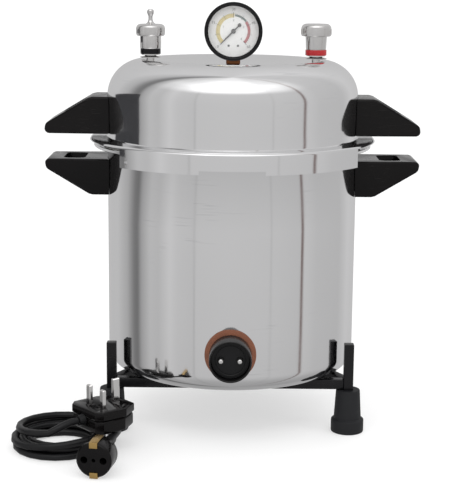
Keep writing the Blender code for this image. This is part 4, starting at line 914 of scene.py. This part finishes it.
def clear_lens():
    mat = bpy.data.materials.new("gauge glass")
    mat.use_nodes = True
    shader = mat.node_tree.nodes["Principled BSDF"]
    shader.inputs["Base Color"].default_value = (1, 1, 1, 1)
    shader.inputs["Alpha"].default_value = 0.1
    wear = made(mat.node_tree.nodes, "ShaderNodeGroup", node_tree=WORN)
    dull = made(mat.node_tree.nodes, "ShaderNodeMapRange", {"To Min": 0.02, "To Max": 0.06})
    mat.node_tree.links.new(wear.outputs["Patches"], dull.inputs["Value"])
    mat.node_tree.links.new(dull.outputs[0], shader.inputs["Roughness"])
    return mat


lens = [(0, 0.0181), (0.0247, 0.0181), (0.025, 0.0183), (0.025, 0.0189), (0.0247, 0.0191)]
lens += [(0, 0.0191)]
glass = turned("gauge_glass", lens, clear_lens(), steps=96, at=gauge_at, front=True)
settle(glass, "lid_unit", "gauge_lens")
copied("gauge_pointer", bezel_black, "pointer")
bronze = finish("bronze", (0.3, 0.115, 0.045), (0.13, 0.045, 0.018), (0.28, 0.5), metallic=0.9,
                scales=(120, 1500, 200), bump=0.08)
copied("gauge_neck", bronze, "lid_unit")
brass = finish("brass", (0.66, 0.45, 0.17), (0.48, 0.31, 0.11), (0.2, 0.4), metallic=1.0,
               scales=(70, 1500, 200), bump=0.05)
for nut in ("gauge_nut", "relief_nut", "safety_nut"):
    copied(nut, brass, "lid_unit", bevel=0.0003)

# ---- valves ----------------------------------------------------------------------------
# Turned and nickelled. Left: a dead weight with a black band that rides on its seat.
# Right: a spring-loaded valve with a red band, whose knurled cap lifts.
SEAT = crown_z(VALVE_X) + 0.0011
relief_at, safety_at = (-VALVE_X, 0, 0), (VALVE_X, 0, 0)
stem_top = SEAT + 0.0165
stem = [(0, -0.009), (0.0038, -0.009), (0.0042, -0.0086), (0.0042, 0.0006), (0.0095, 0.0006)]
stem += [(0.0104, 0.0009), (0.0103, 0.0015), (0.006, 0.0023), (0.0056, 0.0028), (0.0056, 0.0082)]
stem += [(0.0053, 0.0085), (0.0032, 0.0085)]
stem = raised(SEAT, stem) + [(0.003, stem_top - 0.002), (0.0008, stem_top), (0, stem_top)]
settle(turned("relief_seat", stem, nickel, steps=64, at=relief_at), "lid_unit", "relief_stem")
low = SEAT + 0.0088
weight = [(0.0036, low), (0.0078, low), (0.0081, low + 0.0002), (0.0092, 0.3668), (0.0092, 0.3731)]
weight += [(0.0103, 0.3732), (0.0105, 0.3736), (0.0105, 0.385), (0.0128, 0.3852), (0.0138, 0.3858)]
weight += [(0.0143, 0.387), (0.0143, 0.3934), (0.0138, 0.3946), (0.013, 0.3956), (0.0118, 0.3964)]
weight += [(0.0105, 0.3968), (0.0052, 0.397), (0.004, 0.3976), (0.0027, 0.3992), (0.0021, 0.4014)]
weight += [(0.002, 0.4034), (0.0024, 0.4052), (0.0031, 0.4066), (0.0034, 0.4084), (0.0033, 0.4098)]
weight += [(0.0026, 0.4108), (0.0012, 0.4113), (0, 0.4113), (0, stem_top + 0.0012)]
weight += [(0.0034, stem_top + 0.0006), (0.0036, stem_top + 0.0003)]
piece = turned("relief_body", weight, nickel, steps=64, at=relief_at, closed=True)
settle(piece, "relief", "relief_weight")
band = [(0.0095, 0.3676), (0.01, 0.3676), (0.0101, 0.3678), (0.0101, 0.3726), (0.01, 0.3728)]
band += [(0.0095, 0.3728)]
piece = turned("relief_band", band, bezel_black, steps=64, at=relief_at, closed=True)
settle(piece, "relief", "relief_ring")
stem = [(0, -0.009), (0.0038, -0.009), (0.0042, -0.0086), (0.0042, 0.0006), (0.01, 0.0006)]
stem += [(0.0109, 0.0009), (0.0108, 0.0015), (0.0068, 0.0023), (0.0064, 0.0028), (0.0064, 0.0089)]
stem += [(0.0061, 0.0092), (0.003, 0.0092), (0.003, 0.0125), (0.0026, 0.013), (0, 0.013)]
stem = raised(SEAT, stem)
settle(turned("safety_seat", stem, nickel, steps=64, at=safety_at), "lid_unit", "safety_stem")
low = SEAT + 0.0095
body = [(0.0036, low), (0.0078, low), (0.0081, low + 0.0002), (0.0094, 0.3668), (0.0094, 0.3733)]
body += [(0.0099, 0.3735), (0.01, 0.374), (0.0106, 0.3852), (0.0107, 0.386), (0.0062, 0.386)]
body += [(0.0062, SEAT + 0.0135), (0.0036, SEAT + 0.0135)]
piece = turned("safety_barrel", body, nickel, steps=64, at=safety_at, closed=True)
settle(piece, "lid_unit", "safety_body")
valve_red = finish("red band", (0.47, 0.018, 0.022), (0.34, 0.01, 0.014), (0.22, 0.4),
                   scales=(90, 1600, 200))
band = [(0.0097, 0.3676), (0.0104, 0.3676), (0.0105, 0.3678), (0.0105, 0.3728), (0.0104, 0.373)]
band += [(0.0097, 0.373)]
piece = turned("safety_band", band, valve_red, steps=64, at=safety_at, closed=True)
settle(piece, "lid_unit", "safety_ring")
cap = raised(SEAT, [(0, 0.015), (0.0028, 0.015), (0.003, 0.0153)])
cap += [(0.003, 0.3863), (0.0136, 0.3863)]
cap += [(0.0146, 0.3867), (0.0149, 0.3876), (0.0149, 0.394), (0.0148, 0.395), (0.0143, 0.3962)]
cap += [(0.0134, 0.3973), (0.0122, 0.3981), (0.0108, 0.3985), (0.006, 0.3986), (0, 0.3986)]
cap_piece = turned("safety_knob", cap, nickel, steps=96, at=safety_at)
settle(cap_piece, "safety", "safety_cap")
# Coin-edge ridges pressed round the two caps.
caps = (("cap_ridges", "safety", VALVE_X, 0.0149, 0.3882, 0.3936),
        ("weight_ridges", "relief", -VALVE_X, 0.0141, 0.3876, 0.393))
for name, body_name, x, radius, low, high in caps:
    ridge = block((-0.0004, -0.00022, low), (0.0003, 0.00022, high), 0.0001)
    ring = set_round(name, ridge, nickel, 48, radius)
    ring.data.transform(Matrix.Translation((x, 0, 0)))
    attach(ring, body_name)


def return_spring():
    """Steel wire wound in five turns round the plunger."""
    wire = bpy.data.curves.new("spring", "CURVE")
    wire.dimensions, wire.use_fill_caps = "3D", True
    wire.bevel_depth, wire.bevel_resolution = 0.0006, 3
    line = wire.splines.new("POLY")
    turns, low, high, count = 5, SEAT + 0.0146, 0.385, 140
    line.points.add(count - 1)
    for i, point in enumerate(line.points):
        a = 2 * math.pi * turns * i / (count - 1)
        z = low + (high - low) * i / (count - 1)
        point.co = (VALVE_X + 0.0046 * math.cos(a), 0.0046 * math.sin(a), z, 1)
    wire.materials.append(nickel)
    coil = placed("safety_coil", wire)
    mesh = plain_mesh(coil)
    bpy.data.objects.remove(coil)
    return smoothed(placed("safety_coil", mesh), 60)


settle(return_spring(), "lid_unit", "safety_spring")

# ---- electric inlet --------------------------------------------------------------------
# Kettle-type inlet: brown fibre washer, plated shroud, phenolic insulator, two pins, and
# the brass head with its sheathed heating loop inside the pot.
fibre = finish("vulcanised fibre", (0.25, 0.085, 0.04), (0.13, 0.042, 0.02), (0.45, 0.65),
               scales=(90, 2200, 150), bump=0.15)
washer = rod(0.0245, (0, -0.127, INLET_Z), (0, -0.119, INLET_Z), 96)
rims = [e for e in washer.edges if e.calc_face_angle(0) > 1]
bmesh.ops.bevel(washer, geom=rims, offset=0.0004, segments=2, profile=0.5, affect="EDGES")
washer_piece = as_piece("fibre_washer", washer)
combined(washer_piece, rod(POT_R + 0.0003, (0, 0, 0.05), (0, 0, 0.13), 256))
combined(washer_piece, rod(0.0138, (0, -0.2, INLET_Z), (0, -0.1, INLET_Z), 64))
washer_piece.data.materials.clear()
washer_piece.data.materials.append(fibre)
settle(smoothed(washer_piece), "base", "inlet_washer")
shroud_at = (0, -0.1273, INLET_Z)
reach = 0.1515 - 0.1273
shroud = [(0.0138, 0), (0.0191, 0), (0.0199, 0.0003), (0.0201, 0.001), (0.0201, 0.0042)]
shroud += [(0.0198, 0.0046), (0.0198, 0.0052), (0.0201, 0.0056), (0.0201, reach - 0.001)]
shroud += [(0.0199, reach - 0.0003), (0.0195, reach), (0.0188, reach), (0.0184, reach - 0.0004)]
shroud += [(0.0184, 0.0035), (0.0138, 0.0035)]
inlet_black = finish("inlet enamel", (0.008, 0.007, 0.007), (0.003, 0.003, 0.0035), (0.2, 0.36),
                     scales=(50, 1500, 150), bump=0.06, gloss=0.35, worn=(0.03, 0.028, 0.026))
sleeve = turned("inlet_sleeve", shroud, inlet_black, 128, shroud_at, front=True, closed=True)
settle(sleeve, "base", "inlet_shroud")
phenolic = finish("phenolic", (0.008, 0.008, 0.009), (0.003, 0.003, 0.0035), (0.32, 0.5),
                  scales=(60, 1700, 150), bump=0.12, gloss=0.3, worn=(0.02, 0.02, 0.02))
disc = [(0, 0.0071), (0.0181, 0.0071), (0.0181, 0.0156), (0.0178, 0.016), (0.015, 0.016)]
disc += [(0.0146, 0.0157), (0.014, 0.0157), (0.0136, 0.016), (0, 0.016)]
insulator = turned("inlet_disc", disc, phenolic, steps=96, at=shroud_at, front=True)
for x in (-0.0089, 0.0089):
    combined(insulator, rod(0.0031, (x, -0.16, INLET_Z), (x, -0.1374, INLET_Z), 40))
settle(smoothed(insulator), "base", "inlet_insulator")
pin = [(0, 0.0105), (0.0028, 0.0105), (0.0028, 0.0205), (0.0025, 0.0216), (0.0019, 0.0224)]
pin += [(0.001, 0.0227), (0, 0.0227)]
for tag, x in (("left", -0.0089), ("right", 0.0089)):
    piece = turned("prong_" + tag, pin, nickel, steps=48, at=(x, -0.1273, INLET_Z), front=True)
    settle(piece, "base", "inlet_pin_" + tag)
copied("element_head", brass, "base", bevel=0.0002)
element_alloy = finish("element sheath", (0.3, 0.26, 0.22), (0.14, 0.13, 0.13), (0.35, 0.6),
                       metallic=0.8, scales=(45, 1500, 120), bump=0.12)
copied("heating_element", element_alloy, "base", angle=50)

# ---- inside of the pot -----------------------------------------------------------------
# A perforated aluminium plate on three pegs above the water, and a basket with rows of
# punched holes, a rolled rim and a wire bail. Punchings are one cutter set round.
satin = finish("satin aluminium", (0.8, 0.8, 0.81), (0.7, 0.7, 0.71), (0.22, 0.36), metallic=1.0,
               scales=(20, 1200, 50), bump=0.04)


def punched(piece, rings):
    """Punch rings of holes: (count, radius, start, height, hole radius, upright)."""
    for count, radius, start, height, hole, upright in rings:
        ends = ((0, 0, -0.01), (0, 0, 0.01)) if upright else ((-0.009, 0, 0), (0.009, 0, 0))
        punch = rod(hole, *ends, 24)
        punch = set_round("punch", punch, satin, count, radius, start=start, rise=height)
        combined(piece, as_bm(punch))
    return smoothed(piece)


plate = [(0, 0.114), (0.1157, 0.114), (0.116, 0.1143), (0.116, 0.1152), (0.1157, 0.1155)]
plate += [(0, 0.1155)]
tray = turned("steam_plate", plate, satin, steps=160)
punched(tray, [(6, 0.036, 1.15, 0.1147, 0.005, True), (14, 0.088, 1.15, 0.1147, 0.005, True)])
pegs = set_round("pegs", rod(0.004, (0, 0, 0.0571), (0, 0, 0.1147), 32), satin, 3, 0.05, start=90)
combined(tray, as_bm(pegs), "UNION")
settle(smoothed(tray), "base", "tray")
low, high = 0.1158, 0.2558
r, t = 0.104, 0.0015
shell = [(0, low), (r - 0.006, low)] + arc(r - 0.006, low + 0.006, 0.006, -90, 0, 8)[1:]
shell += [(r, high - 0.003), (r + 0.0021, high - 0.003), (r + 0.0025, high - 0.0026)]
shell += [(r + 0.0025, high - 0.0005)]
shell += [(r + 0.002, high), (r - t + 0.0003, high), (r - t, high - 0.0003), (r - t, low + 0.006)]
shell += arc(r - 0.006, low + 0.006, 0.006 - t, 0, -90, 6)[1:] + [(0, low + t)]
basket = turned("basket_shell", shell, satin, steps=160)
punched(basket, [(12, r, 1.3, low + 0.04, 0.007, False), (12, r, 16.3, low + 0.088, 0.007, False),
                 (5, 0.032, 1.15, low, 0.007, True), (8, 0.07, 1.15, low, 0.007, True)])
for side in (-1, 1):
    ends = (side * (r - 0.01), 0, 0.2458), (side * (r - t / 2), 0, 0.2458)
    combined(basket, rod(0.0022, *ends, 24), "UNION")
settle(smoothed(basket), "basket_unit", "basket")
copied("basket_bail", nickel, "bail", angle=50)

# ---- stand -----------------------------------------------------------------------------
# Square mild-steel bar, welded and enamelled black: three posts in moulded rubber shoes,
# joined under the pot by three bars.
stand_paint = finish("stand enamel", (0.006, 0.006, 0.007), (0.002, 0.002, 0.0025), (0.18, 0.34),
                     scales=(30, 420, 90), bump=0.16, gloss=0.32, worn=(0.05, 0.048, 0.046))
foot_rubber = finish("foot rubber", (0.016, 0.0165, 0.019), (0.008, 0.0085, 0.0095), (0.5, 0.7),
                     scales=(35, 1500, 90), bump=0.2, gloss=0.3)
for tag in ("front", "left", "right"):
    copied("stand_bar_" + tag, stand_paint, "base", bevel=0.0006)
for tag, angle in (("front_left", -60), ("front_right", 60), ("rear", 180)):
    copied("stand_post_" + tag, stand_paint, "base", bevel=0.0003)
    a = math.radians(angle)
    x, y = 0.1353 * math.sin(a), -0.1353 * math.cos(a)
    shoe = [(0, 0), (0.015, 0), (0.0158, 0.0004), (0.0162, 0.0012), (0.0162, 0.0118)]
    shoe += [(0.016, 0.0126), (0.0154, 0.0132), (0.0142, 0.0136), (0.0135, 0.0142)]
    shoe += [(0.0119, 0.0418), (0.0116, 0.0427), (0.011, 0.0431), (0, 0.0431)]
    foot = turned("shoe_" + tag, shoe, foot_rubber, steps=72, at=(x, y, 0))
    half = 0.00505
    combined(foot, block((x - half, y - half, 0.01), (x + half, y + half, 0.06)))
    settle(smoothed(foot), "base", "foot_" + tag)

# ---- connector and plug ----------------------------------------------------------------
# Bakelite kettle connector with two brass earth clips and a rubber sleeve, and a square
# three-pin plug in two halves with nickelled pins, at the ends of the lead.
ends = [("connector_body", bakelite, 0.0003), ("connector_sleeve", cord_rubber, 0)]
ends += [("connector_clip_top", brass, 0.0001), ("connector_clip_bottom", brass, 0.0001)]
ends += [("plug_cover", bakelite, 0), ("plug_base", bakelite, 0), ("plug_grommet", cord_rubber, 0)]
ends += [("plug_pin_" + tag, nickel, 0) for tag in ("earth", "line", "neutral")]
on_cord = [copied(node, mat, "base", bevel=bevel) for node, mat, bevel in ends]

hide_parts("cord_coil", "cord_lead_connector", "cord_lead_plug")
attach(cord, "base")
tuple(CONNECTOR_LEAD[0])
